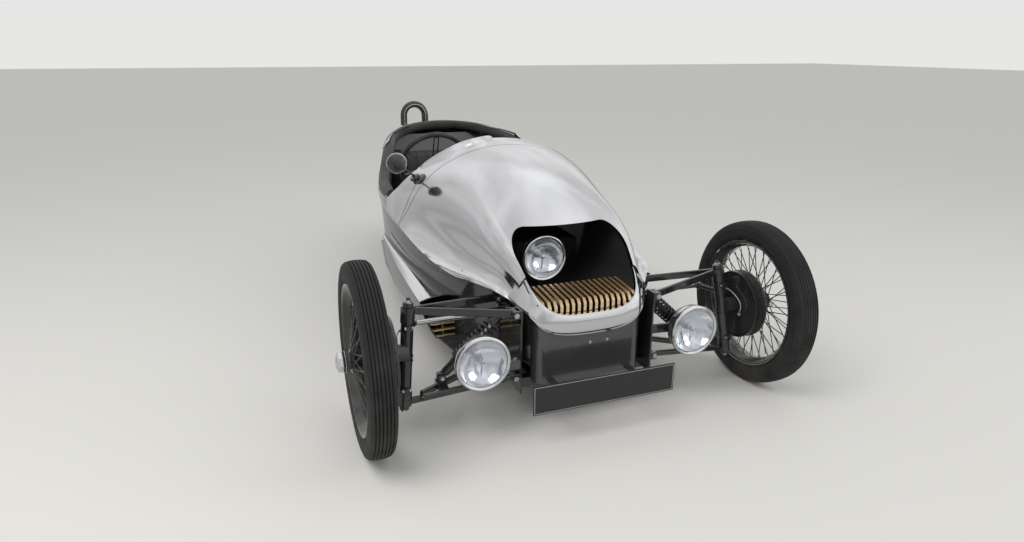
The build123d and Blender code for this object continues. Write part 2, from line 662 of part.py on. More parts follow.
def wheel(radius_rim, rim_width, hub_in, hub_out):
    """Rim, hub and laced wire spokes about X, centred on the tyre's middle."""
    half = rim_width / 2
    rim = on_x([(-half, radius_rim), (-half, radius_rim - 4), (-half + 12, radius_rim - 16), (-14, radius_rim - 26),
                (14, radius_rim - 26), (half - 12, radius_rim - 16), (half, radius_rim - 4), (half, radius_rim),
                (half - 4, radius_rim), (half - 13, radius_rim - 12), (14, radius_rim - 22), (-14, radius_rim - 22),
                (-half + 13, radius_rim - 12), (-half + 4, radius_rim)], (0, 0, 0))
    hub = on_x([(-hub_in, 0), (-hub_in, HUB_R), (-30, HUB_R), (-24, HUB_R + 12), (-18, HUB_R), (36, HUB_R - 4),
                (42, HUB_R + 8), (48, HUB_R - 4), (hub_out - 22, HUB_R - 6), (hub_out - 22, HUB_R),
                (hub_out, HUB_R - 10), (hub_out, 0)], (0, 0, 0))
    spokes = []
    for n in range(SPOKES):
        angle = 2 * pi * n / SPOKES
        lean = radians(34) * (1 if n % 4 < 2 else -1)
        flange = -24 if n % 2 else 42
        root, tip = HUB_R + 4, radius_rim - 25
        spokes.append(spoke((flange, root * cos(angle + lean), root * sin(angle + lean)),
                            (0, tip * cos(angle), tip * sin(angle))))
    return (rim + hub).fuse(*spokes)


def tyre(radius, width, rim_radius, rim_width):
    half, bead, inside = width / 2, rim_width / 2 - 4.5, rim_radius + FIT
    shoulder = 0.28 * width
    return on_x([(-bead, inside), (-half, (radius + rim_radius) / 2), (-half + 8, radius - 18), (-shoulder, radius),
                 (shoulder, radius), (half - 8, radius - 18), (half, (radius + rim_radius) / 2), (bead, inside)],
                (0, 0, 0))


def make_front_wheels():
    shape = wheel(RIM_RADIUS, RIM_WIDTH, DRUM_IN, SPINNER_REACH)
    web = DRUM_WIDTH - DRUM_IN
    shape += on_x([(-DRUM_IN, DRUM_RADIUS), (web, DRUM_RADIUS), (web, HUB_R - 5), (web - 6, HUB_R - 5),
                   (web - 6, DRUM_RADIUS - 6), (-DRUM_IN, DRUM_RADIUS - 6)], (0, 0, 0))
    shape -= rod((-DRUM_IN - 10, 0, 0), (62, 0, 0), AXLE_R + HUB_BORE_PLAY)
    rubber = tyre(FRONT_RADIUS, FRONT_TYRE_WIDTH, RIM_RADIUS, RIM_WIDTH)
    for name, thing in (("wheel", shape), ("tyre", rubber)):
        placed = Pos(HALF_TRACK, 0, FRONT_RADIUS) * thing
        put(f"{name}_left", placed)
        put(f"{name}_right", other_side(placed))


def make_rear():
    rim = wheel(REAR_RIM_RADIUS, REAR_RIM_WIDTH, 70, 70)
    rim -= rod((-120, 0, 0), (120, 0, 0), AXLE_R + HUB_BORE_PLAY)
    place = Pos(0, WHEELBASE, REAR_RADIUS)
    put("rear_wheel", place * rim)
    put("rear_tyre", place * tyre(REAR_RADIUS, REAR_TYRE_WIDTH, REAR_RIM_RADIUS, REAR_RIM_WIDTH))
    arm = rod((-150, PIVOT_Y, PIVOT_Z), (150, PIVOT_Y, PIVOT_Z), 22)
    for side in (-1, 1):
        x = side * 122
        arm += rod((x, PIVOT_Y, PIVOT_Z), (x, WHEELBASE, REAR_RADIUS), 20)
        arm += rod((x - 18, WHEELBASE, REAR_RADIUS), (x + 18, WHEELBASE, REAR_RADIUS), 26)
    arm += rod((-130, WHEELBASE, REAR_RADIUS), (130, WHEELBASE, REAR_RADIUS), AXLE_R)
    arm += rod((-160, PIVOT_Y, PIVOT_Z), (160, PIVOT_Y, PIVOT_Z), 14)
    put("swing_arm", arm)
    floor = FLOOR_Z + SKIN + FIT
    put("motor", block((-130, 130), (PIVOT_Y - 180, PIVOT_Y - 65), (floor, 410)))
    put("battery", block((-200, 200), (450, 830), (floor, 520)))


def make_steering():
    put("track_rod", rod((-ROD_REACH, RACK_Y, RACK_Z), (ROD_REACH, RACK_Y, RACK_Z), ROD_R))
    plane = Plane(origin=WHEEL_CENTRE, x_dir=(1, 0, 0),
                  z_dir=(0, cos(radians(WHEEL_RAKE)), sin(radians(WHEEL_RAKE))))

    def along(radius, near, far):
        """A cylinder on the column's axis, from and to distances ahead of the wheel."""
        return plane * (Pos(0, 0, -(near + far) / 2) * Cylinder(radius, far - near))

    grip = STEER_RIM_R - STEER_GRIP_R
    helm = Solid.make_torus(grip, STEER_GRIP_R, plane) + along(32, 10, 30) + along(SHAFT_R, 20, SHAFT_BACK)
    for n in range(3):
        angle = radians(90 + 120 * n)
        helm += rod(plane.from_local_coords((20 * cos(angle), 20 * sin(angle), -20)),
                    plane.from_local_coords((grip * cos(angle), grip * sin(angle), 0)), 5)
    put("steering_wheel", helm)
    dash_y = COWL_END - 18
    reach = (WHEEL_CENTRE[1] - dash_y) / cos(radians(WHEEL_RAKE))
    bore = along(SHAFT_R + PIN_PLAY, 30, SHAFT_BACK + 8)
    column = along(COLUMN_R, 60, reach + 4)
    board = LINER & band(dash_y, dash_y + 10, 560, 1200) & TUB_ROOM
    put("dash", board + column - bore)


def seat_plane():
    """On the front face of the leaning bulkhead; local Y runs up it and Z points ahead."""
    lean = radians(14)
    return Plane(origin=(0, SEAT_FOOT_Y, FLOOR_Z + SKIN / 2), x_dir=(1, 0, 0), z_dir=(0, -cos(lean), sin(lean)))


def make_cabin():
    thick, tall = 90.0, 560.0
    front = SEAT_FOOT_Y - 490
    back = SEAT_FOOT_Y - thick / cos(radians(14)) - 1
    cushion = fillet(block((-420, 420), (front, back), (FLOOR_Z + SKIN + FIT, 360)).edges(), 28)
    put("seat_cushion", cushion & TUB_ROOM)
    squab = seat_plane() * Pos(0, tall / 2 + 8, thick / 2 + FIT) * fillet(Box(640, tall, thick).edges(), 28)
    put("seat_back", squab & TUB_ROOM)
    x, y, r, top = -125, SURROUND_END - 20, 12, 950
    hoop = rod((x - 68, y, 740), (x - 68, y, top - 55), r) + rod((x + 68, y, 740), (x + 68, y, top - 55), r)
    hoop += Pos(x, y, top - 55) * Rot(90, 0, 0) * (Torus(68, r) & Pos(0, 100, 0) * Box(400, 200, 100))
    put("roll_hoop", hoop - OUTER)


def make_mirror():
    head = Pos(-470, 762, 812) * Rot(-90, 0, 0) * Cone(24, 43, 40)
    stalk = rod((-468, 765, 806), (-398, 812, 741), 5)
    foot = rod((-372, 812, 712), (-396, 812, 752), 22)
    put("mirror", (head + stalk + foot) - OUTER)


def make_tail_lamps():
    for side, name in ((1, "left"), (-1, "right")):
        lamp = Pos(side * 160, WHEELBASE + 150, 620) * Rot(-90, 0, 0) * Cylinder(30, 90)
        put(f"tail_lamp_{name}", lamp - body_loft(start=REAR_ROW))


make_bonnet()
make_upper_body()
make_tail()
make_lower_body()
make_front_panel()
make_nose()
make_lamps()
make_plate()
make_chassis()
make_suspension()
make_knuckles()
make_front_wheels()
make_rear()
make_steering()
make_cabin()
make_mirror()
make_tail_lamps()
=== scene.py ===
import bpy, bmesh, json, math
from mathutils import Matrix, Vector


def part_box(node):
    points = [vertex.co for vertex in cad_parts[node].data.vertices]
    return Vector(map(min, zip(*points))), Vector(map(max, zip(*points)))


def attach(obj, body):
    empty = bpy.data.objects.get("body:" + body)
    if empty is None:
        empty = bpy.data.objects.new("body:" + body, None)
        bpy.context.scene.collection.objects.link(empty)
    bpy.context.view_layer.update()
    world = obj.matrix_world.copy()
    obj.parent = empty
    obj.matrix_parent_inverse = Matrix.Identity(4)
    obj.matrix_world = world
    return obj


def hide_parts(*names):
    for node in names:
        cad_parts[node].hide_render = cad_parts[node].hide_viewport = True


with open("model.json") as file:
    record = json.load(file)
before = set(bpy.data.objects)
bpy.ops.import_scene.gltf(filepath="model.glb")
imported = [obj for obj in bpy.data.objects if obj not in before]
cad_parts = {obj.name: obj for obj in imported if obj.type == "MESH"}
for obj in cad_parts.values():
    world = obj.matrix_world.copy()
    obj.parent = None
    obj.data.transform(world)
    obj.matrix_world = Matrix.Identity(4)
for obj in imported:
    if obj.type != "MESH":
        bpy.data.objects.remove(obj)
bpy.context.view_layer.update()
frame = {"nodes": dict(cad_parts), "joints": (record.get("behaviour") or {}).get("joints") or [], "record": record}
nodes = frame["nodes"]
joints = {joint["name"]: joint for joint in frame["joints"]}

# Stations along Y are measured from the front axle, as on a drawing of the car
axleY = joints["front_left_spin"]["pos_m"][1]
halfTrack = joints["front_left_spin"]["pos_m"][0]
axleZ = joints["front_left_spin"]["pos_m"][2]
rearY = joints["rear_spin"]["pos_m"][1] - axleY
rearZ = joints["rear_spin"]["pos_m"][2]


def at(x, y, z):
    return Vector((x, y + axleY, z))


# Node groups: each effect is made once and placed with its own values

def startGroup(name, inputs, outputs):
    group = bpy.data.node_groups.new(name, "ShaderNodeTree")
    for label, kind, value in inputs:
        socket = group.interface.new_socket(label, in_out="INPUT", socket_type=kind)
        if value is not None:
            socket.default_value = value
    for label, kind in outputs:
        group.interface.new_socket(label, in_out="OUTPUT", socket_type=kind)
    ins = group.nodes.new("NodeGroupInput")
    outs = group.nodes.new("NodeGroupOutput")
    return group, ins, outs


def addNode(tree, kind, values=None, **settings):
    node = tree.nodes.new(kind)
    for key, value in settings.items():
        setattr(node, key, value)
    for key, value in (values or {}).items():
        node.inputs[key].default_value = value
    return node


def makeFinishGroup():
    # fine ripple of a sprayed or polished surface, with a slow change of gloss
    group, ins, outs = startGroup("sprayFinish", [
        ("Ripple Scale", "NodeSocketFloat", 600.0), ("Ripple", "NodeSocketFloat", 0.02),
        ("Gloss Scale", "NodeSocketFloat", 3.0), ("Rough Low", "NodeSocketFloat", 0.1),
        ("Rough High", "NodeSocketFloat", 0.2)],
        [("Roughness", "NodeSocketFloat"), ("Normal", "NodeSocketVector")])
    link = group.links.new
    coords = addNode(group, "ShaderNodeTexCoord")
    ripple = addNode(group, "ShaderNodeTexNoise", {"Detail": 2.0})
    gloss = addNode(group, "ShaderNodeTexNoise", {"Detail": 4.0, "Roughness": 0.6})
    rough = addNode(group, "ShaderNodeMapRange", {"From Min": 0.3, "From Max": 0.7})
    bump = addNode(group, "ShaderNodeBump", {"Distance": 0.0006})
    link(coords.outputs["Object"], ripple.inputs["Vector"])
    link(coords.outputs["Object"], gloss.inputs["Vector"])
    link(ins.outputs["Ripple Scale"], ripple.inputs["Scale"])
    link(ins.outputs["Gloss Scale"], gloss.inputs["Scale"])
    link(gloss.outputs["Fac"], rough.inputs["Value"])
    link(ins.outputs["Rough Low"], rough.inputs["To Min"])
    link(ins.outputs["Rough High"], rough.inputs["To Max"])
    link(ripple.outputs["Fac"], bump.inputs["Height"])
    link(ins.outputs["Ripple"], bump.inputs["Strength"])
    link(rough.outputs["Result"], outs.inputs["Roughness"])
    link(bump.outputs["Normal"], outs.inputs["Normal"])
    return group


def makeDustGroup():
    # dust that settles low down and in broad patches
    group, ins, outs = startGroup("settledDust", [
        ("Clean", "NodeSocketColor", (0.5, 0.5, 0.5, 1)), ("Dust", "NodeSocketColor", (0.42, 0.38, 0.31, 1)),
        ("Amount", "NodeSocketFloat", 0.2), ("Low", "NodeSocketFloat", 0.1),
        ("High", "NodeSocketFloat", 0.6)],
        [("Color", "NodeSocketColor"), ("Mask", "NodeSocketFloat")])
    link = group.links.new
    coords = addNode(group, "ShaderNodeTexCoord")
    split = addNode(group, "ShaderNodeSeparateXYZ")
    height = addNode(group, "ShaderNodeMapRange", {"To Min": 1.0, "To Max": 0.0})
    patches = addNode(group, "ShaderNodeTexNoise", {"Scale": 9.0, "Detail": 6.0, "Roughness": 0.65})
    spread = addNode(group, "ShaderNodeMapRange", {"From Min": 0.35, "From Max": 0.75})
    both = addNode(group, "ShaderNodeMath", operation="MULTIPLY")
    amount = addNode(group, "ShaderNodeMath", operation="MULTIPLY")
    mix = addNode(group, "ShaderNodeMix", data_type="RGBA")
    link(coords.outputs["Object"], split.inputs["Vector"])
    link(coords.outputs["Object"], patches.inputs["Vector"])
    link(split.outputs["Z"], height.inputs["Value"])
    link(ins.outputs["Low"], height.inputs["From Min"])
    link(ins.outputs["High"], height.inputs["From Max"])
    link(patches.outputs["Fac"], spread.inputs["Value"])
    link(height.outputs["Result"], both.inputs[0])
    link(spread.outputs["Result"], both.inputs[1])
    link(both.outputs["Value"], amount.inputs[0])
    link(ins.outputs["Amount"], amount.inputs[1])
    link(amount.outputs["Value"], mix.inputs["Factor"])
    link(ins.outputs["Clean"], mix.inputs["A"])
    link(ins.outputs["Dust"], mix.inputs["B"])
    link(mix.outputs["Result"], outs.inputs["Color"])
    link(amount.outputs["Value"], outs.inputs["Mask"])
    return group


def makeGrainGroup():
    # leather: small cells with creases between them and a slow wander of tone
    group, ins, outs = startGroup("hideGrain", [
        ("Color", "NodeSocketColor", (0.03, 0.028, 0.026, 1)),
        ("Worn", "NodeSocketColor", (0.1, 0.09, 0.08, 1)),
        ("Cell Scale", "NodeSocketFloat", 420.0), ("Depth", "NodeSocketFloat", 0.5)],
        [("Color", "NodeSocketColor"), ("Roughness", "NodeSocketFloat"), ("Normal", "NodeSocketVector")])
    link = group.links.new
    coords = addNode(group, "ShaderNodeTexCoord")
    cells = addNode(group, "ShaderNodeTexVoronoi", feature="DISTANCE_TO_EDGE")
    wander = addNode(group, "ShaderNodeTexNoise", {"Scale": 14.0, "Detail": 5.0})
    crease = addNode(group, "ShaderNodeMapRange", {"From Min": 0.0, "From Max": 0.18})
    mix = addNode(group, "ShaderNodeMix", data_type="RGBA")
    tone = addNode(group, "ShaderNodeMapRange", {"From Min": 0.35, "From Max": 0.8, "To Max": 0.6})
    rough = addNode(group, "ShaderNodeMapRange", {"To Min": 0.52, "To Max": 0.36})
    bump = addNode(group, "ShaderNodeBump", {"Distance": 0.0008})
    link(coords.outputs["Object"], cells.inputs["Vector"])
    link(coords.outputs["Object"], wander.inputs["Vector"])
    link(ins.outputs["Cell Scale"], cells.inputs["Scale"])
    link(cells.outputs["Distance"], crease.inputs["Value"])
    link(crease.outputs["Result"], bump.inputs["Height"])
    link(ins.outputs["Depth"], bump.inputs["Strength"])
    link(wander.outputs["Fac"], tone.inputs["Value"])
    link(tone.outputs["Result"], mix.inputs["Factor"])
    link(ins.outputs["Color"], mix.inputs["A"])
    link(ins.outputs["Worn"], mix.inputs["B"])
    link(crease.outputs["Result"], rough.inputs["Value"])
    link(mix.outputs["Result"], outs.inputs["Color"])
    link(rough.outputs["Result"], outs.inputs["Roughness"])
    link(bump.outputs["Normal"], outs.inputs["Normal"])
    return group


def makeFacingGroup(name, axis, bothWays):
    # picks out what faces along one axis, either way or only towards its plus end
    group, ins, outs = startGroup(name, [("Low", "NodeSocketFloat", 0.1), ("High", "NodeSocketFloat", 0.2)],
                                  [("Mask", "NodeSocketFloat")])
    link = group.links.new
    coords = addNode(group, "ShaderNodeTexCoord")
    split = addNode(group, "ShaderNodeSeparateXYZ")
    mask = addNode(group, "ShaderNodeMapRange")
    facing = split.outputs[axis]
    if bothWays:
        size = addNode(group, "ShaderNodeMath", operation="ABSOLUTE")
        link(facing, size.inputs[0])
        facing = size.outputs["Value"]
    link(coords.outputs["Normal"], split.inputs["Vector"])
    link(facing, mask.inputs["Value"])
    link(ins.outputs["Low"], mask.inputs["From Min"])
    link(ins.outputs["High"], mask.inputs["From Max"])
    link(mask.outputs["Result"], outs.inputs["Mask"])
    return group


finishGroup = makeFinishGroup()
flankGroup = makeFacingGroup("flankside", "X", bothWays=True)
topsideGroup = makeFacingGroup("topside", "Z", bothWays=False)
dustGroup = makeDustGroup()
grainGroup = makeGrainGroup()
print("node groups made")


def newMaterial(name, **sockets):
    material = bpy.data.materials.new(name)
    material.use_nodes = True
    shader = material.node_tree.nodes["Principled BSDF"]
    for label, value in sockets.items():
        shader.inputs[label].default_value = value
    return material, material.node_tree, shader


def placeGroup(tree, group, values):
    node = tree.nodes.new("ShaderNodeGroup")
    node.node_tree = group
    for label, value in values.items():
        node.inputs[label].default_value = value
    return node


def wearFinish(tree, shader, ripple, rough, rippleScale=700.0):
    finish = placeGroup(tree, finishGroup, {"Ripple": ripple, "Ripple Scale": rippleScale,
                                            "Rough Low": rough[0], "Rough High": rough[1]})
    for label in ("Roughness", "Normal"):
        tree.links.new(finish.outputs[label], shader.inputs[label])


def sprayedMetal(name, color, metallic, rough, coat=0.0, ripple=0.02, dust=0.0, rippleScale=700.0):
    material, tree, shader = newMaterial(name,
                                         **{"Metallic": metallic, "Coat Weight": coat,
                                            "Coat Roughness": 0.03})
    wearFinish(tree, shader, ripple, rough, rippleScale)
    if dust:
        dirt = placeGroup(tree, dustGroup, {"Clean": (*color, 1), "Amount": dust})
        tree.links.new(dirt.outputs["Color"], shader.inputs["Base Color"])
    else:
        shader.inputs["Base Color"].default_value = (*color, 1)
    return material


def makeRubber():
    material, tree, shader = newMaterial("tyreRubber", **{"Specular IOR Level": 0.35})
    dirt = placeGroup(tree, dustGroup, {"Clean": (0.012, 0.012, 0.013, 1), "Amount": 0.16, "Low": -0.2,
                                        "High": 0.7})
    tree.links.new(dirt.outputs["Color"], shader.inputs["Base Color"])
    wearFinish(tree, shader, 0.35, (0.55, 0.75), 900.0)
    return material


def makeLeather():
    material, tree, shader = newMaterial("blackHide", **{"Sheen Weight": 0.08})
    grain = placeGroup(tree, grainGroup, {"Color": (0.018, 0.017, 0.016, 1), "Worn": (0.06, 0.055, 0.05, 1)})
    for source, target in (("Color", "Base Color"), ("Roughness", "Roughness"), ("Normal", "Normal")):
        tree.links.new(grain.outputs[source], shader.inputs[target])
    return material


def makeGlass():
    material, tree, shader = newMaterial("lampGlass",
                                         **{"Base Color": (0.95, 0.97, 1, 1), "Transmission Weight": 1.0,
                                            "IOR": 1.45})
    wearFinish(tree, shader, 0.3, (0.02, 0.06), 60.0)
    return material


def makeBarFinish():
    # brass, browner on top; the front faces are painted pale as a highlight and the flanks painted dark as the
    # shade between the slats
    frontHighlightBrass, topBrass, shadowed = (0.86, 0.66, 0.40, 1), (0.45, 0.29, 0.15, 1), (0.030, 0.020, 0.012, 1)
    material, tree, shader = newMaterial("brassBars")
    top = placeGroup(tree, topsideGroup, {"Low": 0.35, "High": 0.85})
    flank = placeGroup(tree, flankGroup, {"Low": 0.55, "High": 0.85})
    # the front faces take a painted highlight, pale, where the top stays brown brass
    brass = addNode(tree, "ShaderNodeMix", {"A": frontHighlightBrass, "B": topBrass}, data_type="RGBA")
    # the flanks take painted shade, dark like the gaps between the slats
    whole = addNode(tree, "ShaderNodeMix", {"B": shadowed}, data_type="RGBA")
    metal = addNode(tree, "ShaderNodeMapRange", {"To Min": 0.7, "To Max": 0.1})
    tree.links.new(top.outputs["Mask"], brass.inputs["Factor"])
    tree.links.new(flank.outputs["Mask"], whole.inputs["Factor"])
    tree.links.new(brass.outputs["Result"], whole.inputs["A"])
    tree.links.new(flank.outputs["Mask"], metal.inputs["Value"])
    tree.links.new(whole.outputs["Result"], shader.inputs["Base Color"])
    tree.links.new(metal.outputs["Result"], shader.inputs["Metallic"])
    wearFinish(tree, shader, 0.03, (0.22, 0.34), 500.0)
    return material


def makePodPaint():
    # polished silver above, dark gloss on the sides and below
    silver, dark = (0.80, 0.805, 0.81, 1), (0.075, 0.077, 0.08, 1)
    material, tree, shader = newMaterial("podPaint", **{"Coat Weight": 0.6, "Coat Roughness": 0.03})
    top = placeGroup(tree, topsideGroup, {"Low": 0.10, "High": 0.16})
    dirt = placeGroup(tree, dustGroup, {"Clean": dark, "Amount": 0.15})
    color = addNode(tree, "ShaderNodeMix", {"B": silver}, data_type="RGBA")
    metal = addNode(tree, "ShaderNodeMapRange", {"To Min": 0.6, "To Max": 1.0})
    tree.links.new(top.outputs["Mask"], color.inputs["Factor"])
    tree.links.new(dirt.outputs["Color"], color.inputs["A"])
    tree.links.new(top.outputs["Mask"], metal.inputs["Value"])
    tree.links.new(color.outputs["Result"], shader.inputs["Base Color"])
    tree.links.new(metal.outputs["Result"], shader.inputs["Metallic"])
    wearFinish(tree, shader, 0.01, (0.06, 0.12))
    return material


paints = {
    "silver": sprayedMetal("silverPaint", (0.80, 0.805, 0.81), 1.0, (0.07, 0.13), coat=0.3, ripple=0.01,
                           dust=0.0),
    "gunmetal": sprayedMetal("darkPaint", (0.085, 0.087, 0.09), 0.6, (0.16, 0.26), coat=0.8, dust=0.08),
    "black_paint": sprayedMetal("glossBlack", (0.022, 0.022, 0.024), 0.3, (0.10, 0.20), coat=1.0, dust=0.05),
    "black_plastic": sprayedMetal("satinBlack", (0.02, 0.02, 0.02), 0.0, (0.4, 0.55), ripple=0.2),
    "bars": makeBarFinish(),
    "lamp_chrome": sprayedMetal("lampChrome", (0.86, 0.86, 0.87), 1.0, (0.03, 0.08), ripple=0.004),
    "lens_glass": makeGlass(),
    "tyre_rubber": makeRubber(),
    "wheel_black": sprayedMetal("wheelBlack", (0.016, 0.016, 0.017), 0.2, (0.14, 0.24), coat=0.7, dust=0.2),
    "steel": sprayedMetal("brightSteel", (0.62, 0.62, 0.63), 1.0, (0.16, 0.28)),
    "leather": makeLeather(),
    "red_lens": sprayedMetal("redLens", (0.42, 0.01, 0.01), 0.0, (0.08, 0.14), coat=0.8),
    "cast": sprayedMetal("castAlloy", (0.45, 0.45, 0.45), 0.9, (0.4, 0.55), ripple=0.4, rippleScale=260.0),
}
print("materials made")

# Every CAD node first takes the finish of its slot
for entry in frame["record"]["subparts"]:
    target = nodes[entry["node"]]
    target.data.materials.clear()
    target.data.materials.append(paints[entry["material_slot"]])

podPaint = makePodPaint()
for pod in ("pod_left", "pod_right"):
    nodes[pod].data.materials[0] = podPaint

# Small modelling tools: every mesh is drawn in stations and moved to the car's frame when it is finished

def finishPiece(name, bm, body, material, sharp=38):
    bmesh.ops.translate(bm, vec=(0, axleY, 0), verts=bm.verts)
    mesh = bpy.data.meshes.new(name)
    bm.to_mesh(mesh)
    bm.free()
    mesh.shade_smooth()
    mesh.set_sharp_from_angle(angle=math.radians(sharp))
    mesh.materials.append(material)
    piece = bpy.data.objects.new(name, mesh)
    bpy.context.scene.collection.objects.link(piece)
    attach(piece, body)
    return piece


def flipAcross(bm):
    bmesh.ops.scale(bm, vec=(-1, 1, 1), verts=bm.verts)
    bmesh.ops.reverse_faces(bm, faces=bm.faces)


def spinProfile(bm, profile, centre, axis, steps=64, closed=False):
    # turns (along the axis, radius) pairs right round, and seals the poles
    axis = Vector(axis).normalized()
    side = axis.orthogonal().normalized()
    if abs(axis.x) > 0.99:
        side = Vector((0, 0, 1))
    points = [bm.verts.new(Vector(centre) + axis * along + side * radius) for along, radius in profile]
    edges = [bm.edges.new(pair) for pair in zip(points, points[1:])]
    if closed:
        edges.append(bm.edges.new((points[-1], points[0])))
    old = set(bm.faces)
    bmesh.ops.spin(bm, geom=points + edges, cent=centre, axis=axis, dvec=(0, 0, 0), angle=2 * math.pi,
                   steps=steps, use_merge=True, use_duplicate=False)
    made = [face for face in bm.faces if face not in old]
    verts = list({vert for face in made for vert in face.verts})
    bmesh.ops.remove_doubles(bm, verts=verts, dist=1e-6)
    made = [face for face in bm.faces if face not in old]
    bmesh.ops.recalc_face_normals(bm, faces=made)
    return made


def addRod(bm, start, end, radius, sides=16, tip=None):
    start, end = Vector(start), Vector(end)
    way = end - start
    place = Matrix.Translation((start + end) / 2) @ way.to_track_quat("Z", "Y").to_matrix().to_4x4()
    return bmesh.ops.create_cone(bm, cap_ends=True, segments=sides, radius1=radius,
                                 radius2=radius if tip is None else tip, depth=way.length,
                                 matrix=place)["verts"]


def addBlock(bm, low, high, soften=0.0, segments=2):
    low, high = Vector(low), Vector(high)
    size = high - low
    place = Matrix.Translation((low + high) / 2) @ Matrix.Diagonal((*size, 1))
    verts = bmesh.ops.create_cube(bm, size=1, matrix=place)["verts"]
    if soften:
        edges = list({edge for vert in verts for edge in vert.link_edges})
        bmesh.ops.bevel(bm, geom=edges, offset=soften, affect="EDGES", segments=segments, profile=0.5,
                        material=-1)
    return verts


def addHexHead(bm, centre, axis, across, height, sides=6):
    # a bolt head with a chamfered crown and a washer under it
    axis = Vector(axis).normalized()
    base = Vector(centre)
    addRod(bm, base - axis * 0.001, base + axis * height * 0.18, across * 0.66, 20)
    verts = addRod(bm, base + axis * height * 0.18, base + axis * height, across * 0.55, sides)
    top = [vert for vert in verts if (vert.co - base).dot(axis) > height * 0.9]
    crown = [edge for vert in top for edge in vert.link_edges if all(v in top for v in edge.verts)]
    bmesh.ops.bevel(bm, geom=list(set(crown)), offset=height * 0.16, affect="EDGES", segments=1, profile=0.5,
                    material=-1)


def curveMesh(points, radius, kind="NURBS", closed=False, sides=4, order=3, caps=True):
    # a round wire along a curve, given back as a mesh
    curve = bpy.data.curves.new("course", "CURVE")
    curve.dimensions = "3D"
    spline = curve.splines.new(kind)
    spline.points.add(len(points) - 1)
    for point, place in zip(spline.points, points):
        point.co = (*place, 1)
    if kind == "NURBS":
        spline.order_u = order
        spline.use_endpoint_u = not closed
        spline.resolution_u = 6
    spline.use_cyclic_u = closed
    curve.bevel_depth = radius
    curve.bevel_resolution = sides
    curve.use_fill_caps = caps and not closed
    holder = bpy.data.objects.new("course", curve)
    mesh = bpy.data.meshes.new_from_object(holder)
    bpy.data.objects.remove(holder)
    bpy.data.curves.remove(curve)
    return mesh


def addWire(bm, points, radius, **options):
    mesh = curveMesh(points, radius, **options)
    bm.from_mesh(mesh)
    bpy.data.meshes.remove(mesh)


def cadCopy(node, keepNormals=False):
    # a merged working copy of a CAD node, in stations, whose corners may remember the CAD surface's normals
    source = nodes[node].data
    bm = bmesh.new()
    bm.from_mesh(source)
    if keepNormals:
        carried = bm.loops.layers.float_vector.new("cadNormal")
        for face, polygon in zip(bm.faces, source.polygons):
            for corner, index in zip(face.loops, polygon.loop_indices):
                corner[carried] = source.corner_normals[index].vector
    bmesh.ops.remove_doubles(bm, verts=bm.verts, dist=1e-5)
    bmesh.ops.translate(bm, vec=(0, -axleY, 0), verts=bm.verts)
    return bm


frontTyre = {
    "radius": 0.319, "rimRadius": 0.2476, "halfWidth": 0.0436, "bead": 0.0345, "steps": 120,
    "ribs": (-0.0265, -0.0165, -0.0058, 0.0058, 0.0165, 0.0265), "grooveWidth": 0.0034, "grooveDepth": 0.0052,
}
rearTyre = {
    "radius": 0.312, "rimRadius": 0.2146, "halfWidth": 0.0885, "bead": 0.0705, "steps": 120,
    "ribs": (-0.062, -0.038, -0.0125, 0.0125, 0.038, 0.062), "grooveWidth": 0.007, "grooveDepth": 0.0065,
}


def tyreProfile(spec):
    # from the bead up one wall, over the ribbed tread and down the other
    radius, half, bead, rim = spec["radius"], spec["halfWidth"], spec["bead"], spec["rimRadius"]
    rise = radius - rim
    shoulder = max(spec["ribs"]) + spec["grooveWidth"] * 2.2
    drop = radius * 0.014
    wall = [(bead, 0.0), (bead + 0.0012, 0.05), (half * 0.93, 0.16), (half * 0.94, 0.19),
            (half * 0.968, 0.20), (half * 0.985, 0.34), (half, 0.50), (half * 0.995, 0.58),
            (half * 1.0, 0.60), (half * 0.985, 0.62), (half * 0.965, 0.72), ((half + shoulder) / 2, 0.86)]

    def crownAt(x):
        return radius - drop * (x / shoulder) ** 2

    tread = [(shoulder, crownAt(shoulder) - 0.003), (shoulder - 0.0016, crownAt(shoulder))]
    for x in sorted(spec["ribs"], reverse=True):
        width, depth = spec["grooveWidth"] / 2, spec["grooveDepth"]
        tread += [(x + width, crownAt(x)), (x + width * 0.55, crownAt(x) - depth),
                  (x - width * 0.55, crownAt(x) - depth), (x - width, crownAt(x))]
    left = [(-x, rim + rise * part) for x, part in wall]
    right = [(x, rim + rise * part) for x, part in wall[::-1]]
    middle = [(-x, r) for x, r in tread]
    return left + middle + [(-x, r) for x, r in middle[1::-1]] + right


def makeTyre(name, node, body, centre, spec):
    bm = bmesh.new()
    spinProfile(bm, tyreProfile(spec), centre, (1, 0, 0), spec["steps"], closed=True)
    piece = finishPiece(name, bm, body, paints["tyre_rubber"], 30)
    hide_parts(node)


makeTyre("tyreLeft", "tyre_left", "front_left", (halfTrack, 0, axleZ), frontTyre)
makeTyre("tyreRight", "tyre_right", "front_right", (-halfTrack, 0, axleZ), frontTyre)
makeTyre("tyreRear", "rear_tyre", "rear", (0, rearY, rearZ), rearTyre)
print("tyres made")

frontWheel = {
    "rimRadius": 0.247, "rimHalf": 0.039, "spokes": 60, "spokeRadius": 0.0018, "cross": 36,
    "innerFlange": -0.022, "outerFlange": 0.044, "flangeRadius": 0.037, "hubBack": -0.074, "nutStart": 0.061,
    "nutEnd": 0.0945, "nutRadius": 0.0345,
}
rearWheel = {
    "rimRadius": 0.214, "rimHalf": 0.075, "spokes": 60, "spokeRadius": 0.0021, "cross": 36,
    "innerFlange": -0.040, "outerFlange": 0.040, "flangeRadius": 0.037, "hubBack": -0.068, "nutStart": 0.052,
    "nutEnd": 0.0695, "nutRadius": 0.029,
}


